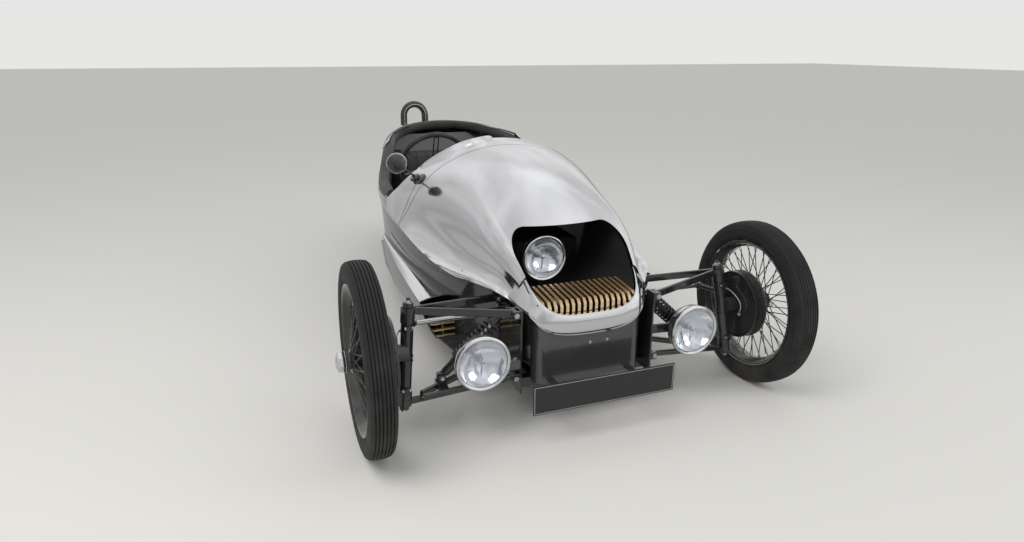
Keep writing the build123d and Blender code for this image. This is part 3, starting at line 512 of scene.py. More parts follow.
def rimProfile(spec):
    r, h = spec["rimRadius"], spec["rimHalf"]
    well = h * 0.30
    inner = [(h - 0.0003, r - 0.0040), (h - 0.0020, r - 0.0085), (h - 0.0070, r - 0.0120),
             (h * 0.62, r - 0.0155), (well + 0.005, r - 0.0220), (well, r - 0.0258)]
    outer = [(well - 0.003, r - 0.0208), (well + 0.006, r - 0.0175), (h * 0.60, r - 0.0112),
             (h - 0.0085, r - 0.0080),
             (h - 0.0050, r - 0.0040), (h - 0.0040, r - 0.0010), (h - 0.0022, r), (h, r - 0.0016)]
    return ([(-x, z) for x, z in inner] + [(x, z) for x, z in inner[::-1]] + [(x, z) for x, z in outer[::-1]]
            + [(-x, z) for x, z in outer])


lacing = {"rimGap": 0.0235, "spread": 0.12, "nipple": (0.003, 0.013), "nippleWide": 1.9, "nippleNarrow": 1.25,
          "sides": 8}


def makeSpokes(bm, metal, spec):
    # wires lie across each other from the hub's flanges to the rim; the nipples go in a second mesh
    count, lean = spec["spokes"], math.radians(spec["cross"])
    tip = spec["rimRadius"] - lacing["rimGap"]
    before, beyond = lacing["nipple"]
    for n in range(count):
        angle = 2 * math.pi * n / count
        turn = angle + lean * (1 if n % 4 < 2 else -1)
        flange = spec["innerFlange"] if n % 2 else spec["outerFlange"]
        spread = spec["rimHalf"] * lacing["spread"] * (-1 if n % 2 else 1)
        start = Vector((flange, spec["flangeRadius"] * math.cos(turn), spec["flangeRadius"] * math.sin(turn)))
        end = Vector((spread, tip * math.cos(angle), tip * math.sin(angle)))
        addRod(bm, start, end, spec["spokeRadius"], lacing["sides"])
        way = (start - end).normalized()
        addRod(metal, end - way * before, end + way * beyond, spec["spokeRadius"] * lacing["nippleWide"],
               lacing["sides"], spec["spokeRadius"] * lacing["nippleNarrow"])


def makeWheel(name, node, body, centre, spec, side):
    rim, trim, wires = bmesh.new(), bmesh.new(), bmesh.new()
    spinProfile(rim, rimProfile(spec), (0, 0, 0), (1, 0, 0), 120, closed=True)
    back, front, flange = spec["hubBack"], spec["nutStart"], spec["flangeRadius"]
    inn, out = spec["innerFlange"], spec["outerFlange"]
    bore = 0.0145
    spinProfile(rim, [(back, bore), (back, 0.028), (back + 0.003, 0.030), (inn - 0.006, 0.030),
                      (inn - 0.003, flange + 0.003), (inn - 0.001, flange + 0.005),
                      (inn + 0.002, flange + 0.005), (inn + 0.004, flange + 0.002), (inn + 0.007, 0.028),
                      (0.0, 0.0255), (out - 0.008, 0.0265), (out - 0.004, flange + 0.001),
                      (out - 0.002, flange + 0.003), (out + 0.002, flange + 0.003), (out + 0.004, flange),
                      (out + 0.006, 0.027), (front, 0.0262), (front, bore)], (0, 0, 0), (1, 0, 0), 48,
                closed=True)
    makeSpokes(wires, trim, spec)
    for edge in (-1, 1):
        r, x = spec["rimRadius"] - 0.0022, edge * (spec["rimHalf"] - 0.0009)
        spinProfile(trim, [(x - 0.0012, r - 0.0012), (x + 0.0012, r - 0.0012), (x + 0.0012, r + 0.0012),
                           (x - 0.0012, r + 0.0012)], (0, 0, 0), (1, 0, 0), 120, closed=True)
    end, nut = spec["nutEnd"], spec["nutRadius"]
    verts = addRod(trim, (front + 0.001, 0, 0), (end - 0.008, 0, 0), nut, 8)
    rims = [edge for edge in {e for v in verts for e in v.link_edges}
            if abs(edge.verts[0].co.x - edge.verts[1].co.x) < 1e-6]
    bmesh.ops.bevel(trim, geom=rims, offset=0.0028, affect="EDGES", segments=2, profile=0.5, material=-1)
    spinProfile(trim, [(front - 0.003, 0.0262), (front - 0.003, nut * 0.98), (front - 0.001, nut * 1.04),
                       (front + 0.004, nut * 1.04), (front + 0.005, nut * 0.95)], (0, 0, 0), (1, 0, 0), 48)
    spinProfile(trim, [(end - 0.009, nut * 0.84), (end - 0.006, nut * 0.83), (end - 0.0045, nut * 0.78),
                       (end - 0.004, nut * 0.62),
                       (end - 0.0015, nut * 0.55), (end, nut * 0.35), (end, 0.0)], (0, 0, 0), (1, 0, 0), 40)
    for label, bm, material, slotName, sharp in (("Rim", rim, paints["wheel_black"], "wheel_black", 35),
                                                 ("Spokes", wires, paints["wheel_black"], "wheel_black", 50),
                                                 ("Trim", trim, paints["lamp_chrome"], "steel", 35)):
        if side < 0:
            flipAcross(bm)
        bmesh.ops.translate(bm, vec=centre, verts=bm.verts)
        finishPiece(name + label, bm, body, material, sharp)
    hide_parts(node)


brakeDrum = {
    "radius": 0.130, "from": -0.086, "to": -0.0318, "finDepth": 0.0028, "fins": 5,
    "bolts": 6, "boltCircle": 0.082, "boltTurn": 0.3, "boltAcross": 0.010, "boltHeight": 0.006,
}


def makeDrum(name, body, side):
    spec = brakeDrum
    r, start, end = spec["radius"], spec["from"], spec["to"]
    outline = [(start, r - 0.0055), (start, r - 0.0012), (start + 0.0012, r), (start + 0.010, r)]
    pitch = (end - start - 0.018) / spec["fins"]
    for n in range(spec["fins"]):
        x = start + 0.010 + n * pitch
        outline += [(x + pitch * 0.16, r - spec["finDepth"]), (x + pitch * 0.52, r - spec["finDepth"]),
                    (x + pitch * 0.68, r)]
    outline += [(end - 0.004, r - 0.0006), (end - 0.001, r - 0.0045), (end, r - 0.012), (end + 0.0005, 0.064),
                (end - 0.004, 0.058), (end - 0.004, 0.0305), (end - 0.009, 0.0305), (end - 0.009, r - 0.012),
                (start + 0.012, r - 0.0062)]
    bm = bmesh.new()
    spinProfile(bm, outline, (halfTrack, 0, axleZ), (1, 0, 0), 96, closed=True)
    circle = spec["boltCircle"]
    for n in range(spec["bolts"]):
        angle = 2 * math.pi * n / spec["bolts"] + spec["boltTurn"]
        place = (halfTrack + end - 0.0005, circle * math.cos(angle), axleZ + circle * math.sin(angle))
        addHexHead(bm, place, (1, 0, 0), spec["boltAcross"], spec["boltHeight"])
    if side < 0:
        flipAcross(bm)
    finishPiece(name, bm, body, paints["black_paint"], 35)


makeWheel("wheelLeft", "wheel_left", "front_left", (halfTrack, 0, axleZ), frontWheel, 1)
makeWheel("wheelRight", "wheel_right", "front_right", (-halfTrack, 0, axleZ), frontWheel, -1)
makeWheel("wheelRear", "rear_wheel", "rear", (0, rearY, rearZ), rearWheel, 1)
makeDrum("drumLeft", "front_left", 1)
makeDrum("drumRight", "front_right", -1)
print("wheels made")

lampSpec = {
    "side": {"radius": 0.095, "depth": 0.105, "place": (0.402, -0.136, 0.298)},
    "centre": {"radius": 0.088, "depth": 0.105, "place": (-0.061, 0.170, 0.533)},
}


def makeHeadLamp(label, node, lensNode, place, radius, depth):
    # chrome ring and hood, black seal, bucket, bright bowl, bulb with its shield, and the fluted glass
    chrome, seal, bowl, glass, bulb = (bmesh.new() for part in range(5))
    y = (0, 1, 0)
    r = radius
    spinProfile(chrome, [(0.0030, r - 0.0118), (0.0004, r - 0.0095), (-0.0008, r - 0.0062),
                         (0.0006, r - 0.0026), (0.0042, r - 0.0004), (0.0100, r), (0.0170, r - 0.0003),
                         (0.0196, r - 0.0014), (0.0205, r - 0.0036), (0.0212, r - 0.0036),
                         (0.0218, r - 0.0024), (0.0440, r - 0.0094), (0.0447, r - 0.0110),
                         (0.0440, r - 0.0130), (0.0230, r - 0.0110), (0.0150, r - 0.0118)], place, y, 72,
                closed=True)
    spinProfile(seal, [(0.0449, r - 0.0130), (0.0449, r - 0.0098), (0.0466, r - 0.0090), (0.0484, r - 0.0098),
                       (0.0486, r - 0.0130)], place, y, 64, closed=True)
    spinProfile(seal, [(0.0488, r - 0.0125), (0.0580, r * 0.835), (0.0735, r * 0.722), (0.0900, r * 0.565),
                       (0.0990, r * 0.44),
                       (depth - 0.0012, r * 0.36), (depth, r * 0.30), (depth, 0.0)], place, y, 64)
    dish = [(0.0085, r - 0.0132), (0.0200, r * 0.80), (0.0320, r * 0.68), (0.0420, r * 0.545),
            (0.0500, r * 0.40), (0.0545, r * 0.26), (0.0560, 0.013)]
    spinProfile(bowl, dish, place, y, 72)
    bmesh.ops.reverse_faces(bowl, faces=[face for face in bowl.faces if face.normal.y > 0])
    spinProfile(glass, [(0.0078, r - 0.0125), (0.0045, r - 0.0128), (0.0012, r * 0.78), (-0.0020, r * 0.55),
                        (-0.0036, r * 0.28), (-0.0040, 0.0), (-0.0012, 0.0), (-0.0008, r * 0.28),
                        (0.0008, r * 0.55), (0.0040, r * 0.78)], place, y, 72, closed=True)
    spinProfile(bulb, [(0.0555, 0.0), (0.0555, 0.0125), (0.0480, 0.0125), (0.0475, 0.0080), (0.0300, 0.0078),
                       (0.0230, 0.0088), (0.0180, 0.0078), (0.0150, 0.0040), (0.0145, 0.0)], place, y, 28)
    addBlock(bulb, (place[0] - 0.0022, place[1] + 0.030, place[2] - 0.050),
             (place[0] + 0.0022, place[1] + 0.0315, place[2] + 0.006), 0.0006, 1)
    addWire(bulb, [(place[0], place[1] + 0.0150, place[2]), (place[0], place[1] + 0.021, place[2] - 0.030),
                   (place[0], place[1] + 0.036, place[2] - 0.052)], 0.0012, sides=2)
    ring = finishPiece("lampRing" + label, chrome, "car", paints["lamp_chrome"], 40)
    finishPiece("lampBucket" + label, seal, "car", paints["black_paint"], 40)
    finishPiece("lampBowl" + label, bowl, "car", bowlFinish, 60)
    pane = finishPiece("lampGlass" + label, glass, "car", paints["lens_glass"], 50)
    finishPiece("lampBulb" + label, bulb, "car", paints["steel"], 40)
    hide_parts(node)
    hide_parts(lensNode)


def makeBowlFinish():
    # a stamped reflector: soft facets that break the light up
    material, tree, shader = newMaterial("stampedBowl",
                                         **{"Base Color": (0.93, 0.94, 0.95, 1), "Metallic": 1.0})
    wearFinish(tree, shader, 1.0, (0.12, 0.2), 42.0)
    return material


bowlFinish = makeBowlFinish()
for label, kind, side in (("Left", "side", 1), ("Right", "side", -1), ("Centre", "centre", 1)):
    x, y, z = lampSpec[kind]["place"]
    makeHeadLamp(label, "lamp_" + label.lower(), "lens_" + label.lower(), (side * x, y, z),
                 lampSpec[kind]["radius"],
                 lampSpec[kind]["depth"])
print("lamps made")

# The nose's rolled surround: stations run from the middle below the opening up its left side.
# Each has the opening's edge, two places across the face and the outer edge, as (x, y, z).
noseSurround = {
    "stations": (
        ((0, -0.113, 0.416), (0, -0.1225, 0.396), (0, -0.1235, 0.352), (0, -0.1120, 0.334)),
        ((0.055, -0.113, 0.416), (0.058, -0.1225, 0.396), (0.064, -0.1235, 0.353), (0.065, -0.1120, 0.335)),
        ((0.105, -0.112, 0.4185), (0.112, -0.1205, 0.399), (0.127, -0.1215, 0.361), (0.129, -0.1110, 0.343)),
        ((0.150, -0.105, 0.433), (0.162, -0.1130, 0.416), (0.184, -0.1140, 0.381), (0.184, -0.1050, 0.364)),
        ((0.180, -0.081, 0.459), (0.196, -0.0870, 0.446), (0.221, -0.0860, 0.415), (0.217, -0.0790, 0.395)),
        ((0.197, -0.047, 0.489), (0.215, -0.0500, 0.471), (0.2410, -0.0490, 0.436), (0.2335, -0.0450, 0.414)),
        ((0.2045, -0.018, 0.514), (0.2290, -0.0185, 0.485), (0.2548, -0.0180, 0.451),
         (0.2443, -0.0180, 0.4262)),
        ((0.2088, 0.014, 0.5385), (0.2415, 0.014, 0.4995), (0.2683, 0.014, 0.4615), (0.2555, 0.014, 0.4365)),
    ),
    "creases": (0, 0, 0, 0.1, 0.35, 0.6, 0.85, 0.95),
    "lipCrease": 0.45, "levels": 3, "lipDepth": 0.018, "tuck": (0.006, 0.012, 0.006), "thickness": 0.0016,
    "cutY": -0.004,
}


def borrowShading(piece):
    # the cut copy is shaded by the CAD surface's own normals
    mesh = piece.data
    carried = mesh.attributes["cadNormal"].data
    mesh.normals_split_custom_set([corner.vector.normalized() for corner in carried])
    mesh.attributes.remove(mesh.attributes["cadNormal"])


def makeNoseShell():
    # the bonnet without its plain chin
    bm = cadCopy("bonnet", keepNormals=True)
    bmesh.ops.bisect_plane(bm, geom=bm.verts[:] + bm.edges[:] + bm.faces[:],
                           plane_co=(0, noseSurround["cutY"], 0), plane_no=(0, -1, 0), clear_outer=True)
    shell = finishPiece("bonnetShell", bm, "car", paints["silver"], 30)
    borrowShading(shell)
    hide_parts("bonnet")


def makeNoseSurround():
    spec = noseSurround
    tuckX, tuckY, tuckZ = spec["tuck"]
    stations, creases = [], []
    for (edge, crest, brow, outer), crease in zip(spec["stations"], spec["creases"]):
        lip = (edge[0], edge[1] + spec["lipDepth"], edge[2])
        under = (max(outer[0] - tuckX, 0), outer[1] + tuckY, outer[2] + tuckZ)
        stations.append((lip, edge, crest, brow, outer, under))
        creases.append(crease)
    whole = [[(-x, y, z) for x, y, z in station] for station in stations[:0:-1]] + stations
    sharpness = creases[:0:-1] + creases
    bm = bmesh.new()
    rows = [[bm.verts.new(place) for place in station] for station in whole]
    for near, far in zip(rows, rows[1:]):
        for k in range(len(near) - 1):
            bm.faces.new((near[k], far[k], far[k + 1], near[k + 1]))
    bmesh.ops.recalc_face_normals(bm, faces=bm.faces)
    if sum(face.normal.y for face in bm.faces) > 0:
        bmesh.ops.reverse_faces(bm, faces=bm.faces)
    layer = bm.edges.layers.float.new("crease_edge")
    for near, far, sharp in zip(rows, rows[1:], sharpness):
        for k, weight in ((1, spec["lipCrease"]), (3, sharp)):
            edge = bm.edges.get((near[k], far[k]))
            edge[layer] = weight
    surround = finishPiece("noseSurround", bm, "car", paints["silver"], 60)
    smooth = surround.modifiers.new("subdivision", "SUBSURF")
    smooth.levels = smooth.render_levels = spec["levels"]
    thick = surround.modifiers.new("thickness", "SOLIDIFY")
    thick.thickness = spec["thickness"]
    thick.offset = -1


makeNoseShell()
makeNoseSurround()
print("nose surround made")

barSpec = {"soften": 0.0024, "segments": 2, "flat": 4, "sharp": 40, "shortest": 0.004}


def makeNoseBars():
    # the CAD comb, merged and with its long edges rounded over
    bm = cadCopy("nose_bars")
    bmesh.ops.dissolve_limit(bm, angle_limit=math.radians(barSpec["flat"]), verts=bm.verts, edges=bm.edges)
    sharp = [edge for edge in bm.edges if len(edge.link_faces) == 2
             and edge.calc_face_angle() > math.radians(barSpec["sharp"])
             and edge.calc_length() > barSpec["shortest"]]
    bmesh.ops.bevel(bm, geom=sharp, offset=barSpec["soften"], affect="EDGES", segments=barSpec["segments"],
                    profile=0.5, material=-1, clamp_overlap=True)
    bars = finishPiece("noseBars", bm, "car", paints["bars"], 50)
    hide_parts("nose_bars")


makeNoseBars()

plateSpec = {"width": 0.529, "height": 0.103, "y": -0.222, "z": 0.182, "border": 0.0022, "inset": 0.0035,
             "proud": 0.0006}


def makePlateBorder():
    # a thin bright line near the blank plate's edge
    spec = plateSpec
    bm = bmesh.new()
    half, tall = spec["width"] / 2 - spec["inset"], spec["height"] / 2 - spec["inset"]
    place = (Matrix.Translation((0, spec["y"], spec["z"])) @ Matrix.Rotation(math.pi / 2, 4, "X")
             @ Matrix.Diagonal((half, tall, 1, 1)))
    bmesh.ops.create_grid(bm, x_segments=1, y_segments=1, size=1, matrix=place)
    bmesh.ops.inset_region(bm, faces=bm.faces[:], thickness=spec["border"], use_boundary=True,
                           use_even_offset=True)
    middle = [face for face in bm.faces if face.calc_area() > half * tall * 2]
    bmesh.ops.delete(bm, geom=middle, context="FACES")
    bmesh.ops.recalc_face_normals(bm, faces=bm.faces)
    if bm.faces[0].normal.y > 0:
        bmesh.ops.reverse_faces(bm, faces=bm.faces)
    bmesh.ops.solidify(bm, geom=bm.faces[:], thickness=-spec["proud"])
    bmesh.ops.recalc_face_normals(bm, faces=bm.faces)
    finishPiece("plateBorder", bm, "car", paints["steel"], 30)


makePlateBorder()

panelBolts = {"y": -0.0995, "places": ((-0.0039, 0.3025), (0.0622, 0.3037)), "across": 0.0085,
              "height": 0.0035}
deckRivets = {"places": ((-0.4346, 0.6005, 0.4891), (-0.4114, 0.5158, 0.4644), (-0.3845, 0.4364, 0.4438)),
              "facing": (-0.96, -0.26, -0.10), "across": 0.0075, "height": 0.0030}
carrierBolts = {"x": 0.256, "places": ((0.036, 0.413), (0.036, 0.374), (-0.034, 0.191), (-0.034, 0.250),
                                       (0.060, 0.210)),
                "across": 0.012, "height": 0.007}
pickupBolts = {"x": 0.2703, "frontY": -0.062, "rearY": 0.108, "heights": (0.430, 0.200), "reach": 0.0236,
               "across": 0.014, "height": 0.008}


def makeBolts():
    bright = bmesh.new()
    for x, z in panelBolts["places"]:
        addHexHead(bright, (x, panelBolts["y"], z), (0, -1, 0), panelBolts["across"], panelBolts["height"])
    for side in (-1, 1):
        for x, y, z in deckRivets["places"]:
            facing = Vector(deckRivets["facing"]) * Vector((-side, 1, 1))
            addHexHead(bright, (-side * x, y, z), facing, deckRivets["across"], deckRivets["height"], 12)
        for y, z in carrierBolts["places"]:
            addHexHead(bright, (side * carrierBolts["x"], y, z), (side, 0, 0), carrierBolts["across"],
                       carrierBolts["height"])
        for z in pickupBolts["heights"]:
            for y in (pickupBolts["frontY"], pickupBolts["rearY"]):
                for way in (-1, 1):
                    addHexHead(bright, (side * pickupBolts["x"], y + way * pickupBolts["reach"], z),
                               (0, way, 0), pickupBolts["across"], pickupBolts["height"])
    finishPiece("chassisBolts", bright, "car", paints["steel"], 35)


makeBolts()

kingPin = {"top": Vector((halfTrack - 0.1505, 0.033, axleZ + 0.132)),
           "bottom": Vector((halfTrack - 0.1165, -0.012, axleZ - 0.172)),
           "eye": 0.022, "boss": Vector((halfTrack - 0.1755, 0.112, 0.372)), "clampsAt": (0.16, 0.84),
          "ringsAt": (0.45, 0.50)}
brakePipe = {"radius": 0.0032, "course": ((0.640, 0.040, 0.382), (0.652, 0.020, 0.379),
                                          (0.658, -0.015, 0.366), (0.660, -0.043, 0.350),
                                          (0.661, -0.056, 0.330), (0.663, -0.050, 0.306),
                                          (0.6695, -0.040, 0.292))}


def makeKnuckleDetail(label, body, side):
    # bright nuts on the king pin, clamp bolts, brake pipe, pipe unions and the ball joint on the steering arm
    bright, dark = bmesh.new(), bmesh.new()
    top, bottom = kingPin["top"], kingPin["bottom"]
    way = (top - bottom).normalized()
    addHexHead(bright, top + way * (kingPin["eye"] / 2 + 0.0150), way, 0.021, 0.009)
    addRod(dark, top + way * (kingPin["eye"] / 2 + 0.024), top + way * (kingPin["eye"] / 2 + 0.032), 0.0075,
           16, 0.0065)
    addHexHead(bright, bottom - way * (kingPin["eye"] / 2 + 0.0130), -way, 0.019, 0.008)
    for part in kingPin["clampsAt"]:
        collar = bottom.lerp(top, part)
        addBlock(dark, collar + Vector((-0.010, -0.034, -0.010)), collar + Vector((0.010, -0.018, 0.010)),
                 0.002)
        addHexHead(bright, collar + Vector((0.010, -0.027, 0)), (1, 0, 0), 0.009, 0.005)
        addHexHead(bright, collar + Vector((-0.010, -0.027, 0)), (-1, 0, 0), 0.009, 0.005)
    for height in kingPin["ringsAt"]:
        spinProfile(dark, [(0, 0.0212), (0, 0.0232), (0.004, 0.0236), (0.008, 0.0232), (0.008, 0.0212)],
                    bottom.lerp(top, height), way, 32, closed=True)
    addWire(bright, brakePipe["course"], brakePipe["radius"], sides=4)
    addRod(bright, brakePipe["course"][-1], Vector(brakePipe["course"][-1]) + Vector((0.005, 0.003, -0.004)),
           0.0062, 6)
    addRod(bright, Vector(brakePipe["course"][0]) + Vector((-0.012, 0, 0)), brakePipe["course"][0], 0.0060, 6)
    boss = kingPin["boss"]
    spinProfile(bright, [(-0.0135, 0.0), (-0.0135, 0.0075), (-0.0105, 0.0080), (-0.0100, 0.0125)], boss,
                (0, 0, 1), 24)
    spinProfile(bright, [(0.0100, 0.0125), (0.0105, 0.0080), (0.0150, 0.0078), (0.0160, 0.0060),
                         (0.0160, 0.0)], boss, (0, 0, 1), 24)
    addRod(dark, boss + Vector((-0.0135, 0, 0)), boss + Vector((-0.0195, 0, 0)), 0.0105, 20, 0.0085)
    for bm in (bright, dark):
        if side < 0:
            flipAcross(bm)
    finishPiece("knuckleSteel" + label, bright, body, paints["steel"], 35)
    finishPiece("knuckleClamps" + label, dark, body, paints["black_paint"], 35)


makeKnuckleDetail("Left", "steer_left", 1)
makeKnuckleDetail("Right", "steer_right", -1)

damper = {"top": Vector((0.2843, 0.022, 0.400)), "foot": Vector((halfTrack - 0.2525, 0.022, 0.202)),
          "turns": 9.0, "coilRadius": 0.0265, "wire": 0.0043, "coilFrom": 0.13, "coilTo": 0.73}


def makeDamper(label, node, side):
    spec = damper
    top, foot = spec["top"], spec["foot"]
    way = foot - top
    length = way.length
    axis = way.normalized()
    coil, body, bright = bmesh.new(), bmesh.new(), bmesh.new()
    start = top + way * (spec["coilFrom"] + 0.022)
    across = axis.orthogonal().normalized()
    ring = bmesh.ops.create_circle(coil, segments=10, radius=spec["wire"], cap_ends=False,
                                   matrix=Matrix.Translation(start + across * spec["coilRadius"])
                                   @ axis.cross(across).to_track_quat("Z", "Y").to_matrix().to_4x4())["verts"]
    steps = int(spec["turns"] * 28)
    run = length * (spec["coilTo"] - spec["coilFrom"] - 0.044)
    bmesh.ops.spin(coil, geom=ring + list({e for v in ring for e in v.link_edges}), cent=start, axis=axis,
                   dvec=axis * (run / steps), angle=2 * math.pi * spec["turns"], steps=steps, use_merge=False)
    bmesh.ops.holes_fill(coil, edges=[edge for edge in coil.edges if edge.is_boundary], sides=20)
    bmesh.ops.recalc_face_normals(coil, faces=coil.faces)
    a, b = length * spec["coilFrom"], length * spec["coilTo"]
    for near, sign in ((a, 1), (b, -1)):
        spinProfile(body, [(near, 0.0), (near, 0.0300), (near + sign * 0.0015, 0.0312),
                           (near + sign * 0.0045, 0.0312),
                           (near + sign * 0.0055, 0.0300), (near + sign * 0.0055, 0.0)], top, axis, 40)
    spinProfile(body, [(b * 0.52, 0.0), (b * 0.52, 0.0185), (b * 0.54, 0.0200), (b + 0.012, 0.0200),
                       (b + 0.020, 0.0175), (length - 0.020, 0.0165), (length - 0.014, 0.0130),
                       (length - 0.014, 0.0)], top, axis, 32)
    spinProfile(bright, [(a * 0.55, 0.0), (a * 0.55, 0.0075), (b * 0.55, 0.0075), (b * 0.55, 0.0)], top, axis,
                20)
    spinProfile(body, [(0.008, 0.0), (0.008, 0.0110), (a * 0.62, 0.0140), (a, 0.0150), (a, 0.0)], top, axis,
                28)
    for place in (top, foot):
        spinProfile(body, [(-0.0110, 0.0075), (-0.0110, 0.0150), (-0.0080, 0.0165), (0.0080, 0.0165),
                           (0.0110, 0.0150), (0.0110, 0.0075)], place, (0, 1, 0), 28, closed=True)
        addRod(bright, place - Vector((0, 0.022, 0)), place + Vector((0, 0.022, 0)), 0.0070, 16)
        addHexHead(bright, place - Vector((0, 0.0205, 0)), (0, -1, 0), 0.012, 0.007)
        addHexHead(bright, place + Vector((0, 0.0205, 0)), (0, 1, 0), 0.012, 0.007)
    for edge in (-1, 1):
        addBlock(body, foot + Vector((-0.013, edge * 0.0160 - 0.002, -0.0225)),
                 foot + Vector((0.013, edge * 0.0160 + 0.002, 0.010)), 0.0012, 1)
        addBlock(body, top + Vector((-0.0165, edge * 0.0160 - 0.002, -0.012)),
                 top + Vector((0.010, edge * 0.0160 + 0.002, 0.012)), 0.0012, 1)
    for bm in (coil, body, bright):
        if side < 0:
            flipAcross(bm)
    spring = finishPiece("spring" + label, coil, "car", paints["black_paint"], 50)
    finishPiece("damperBody" + label, body, "car", paints["black_paint"], 35)
    finishPiece("damperSteel" + label, bright, "car", paints["steel"], 35)
    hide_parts(node)


makeDamper("Left", "damper_left", 1)
makeDamper("Right", "damper_right", -1)

# each wall of the scoop's mouth is its place across, the height it has there and how much it leans out
podFins = {"count": 5, "lowest": 0.219, "pitch": 0.0262, "y": (0.374, 0.412), "thick": 0.0075,
           "soften": 0.0022, "outerWall": (0.4365, 0.2033, 0.365), "innerWall": (0.334, 0.222, 0.094),
           "innerGap": 0.016, "post": (0.395, 0.401), "postFoot": 0.2036, "postInset": (0.012, 0.006)}


def makePodFins(label, side):
    # brass slats across the scoop's mouth
    spec = podFins
    front, back = spec["y"]
    outerX, outerZ, outerLean = spec["outerWall"]
    innerX, innerZ, innerLean = spec["innerWall"]
    bm = bmesh.new()
    for n in range(spec["count"]):
        z = spec["lowest"] + n * spec["pitch"]
        outer = outerX + (z - outerZ) * outerLean
        inner = innerX + (z - innerZ) * innerLean + spec["innerGap"]
        addBlock(bm, (inner, front, z - spec["thick"] / 2), (outer, back, z + spec["thick"] / 2),
                 spec["soften"], 2)
    top = spec["lowest"] + (spec["count"] - 1) * spec["pitch"]
    addBlock(bm, (spec["post"][0], front + spec["postInset"][0], spec["postFoot"]),
             (spec["post"][1], back - spec["postInset"][1], top), 0.001, 1)
    if side < 0:
        flipAcross(bm)
    finishPiece("podFins" + label, bm, "car", paints["bars"], 40)


makePodFins("Left", 1)
makePodFins("Right", -1)

trayTrim = {"radius": 0.0028, "z": 0.1995,
            "edge": ((0.200, 0.166), (0.398, 0.164), (0.431, 0.360), (0.4555, 0.700), (0.4535, 1.050),
                     (0.4295, 1.400), (0.3675, 1.830))}


def makeTrayTrim(label, side):
    bm = bmesh.new()
    course = [(x, y, trayTrim["z"]) for x, y in trayTrim["edge"]]
    addWire(bm, course, trayTrim["radius"], sides=3, order=4)
    if side < 0:
        flipAcross(bm)
    finishPiece("trayTrim" + label, bm, "car", paints["lamp_chrome"], 60)


makeTrayTrim("Left", 1)
makeTrayTrim("Right", -1)
print("front end made")

helmSpec = {"centre": Vector((-0.240, 1.070, 0.760)), "rake": 28, "radius": 0.152, "grip": 0.0125,
            "gripSides": 16, "shaftFrom": -0.200, "spokes": 3, "spokeWidth": 0.026, "spokeHalfLength": 0.058,
            "spokeMiddle": 0.087, "spokeSink": -0.011, "spokeTilt": 8, "spokeThick": 0.0032,
            "slotEdge": 0.006, "bolts": 6, "boltCircle": 0.0292, "boltTurn": 0.2, "boltSink": -0.0140}


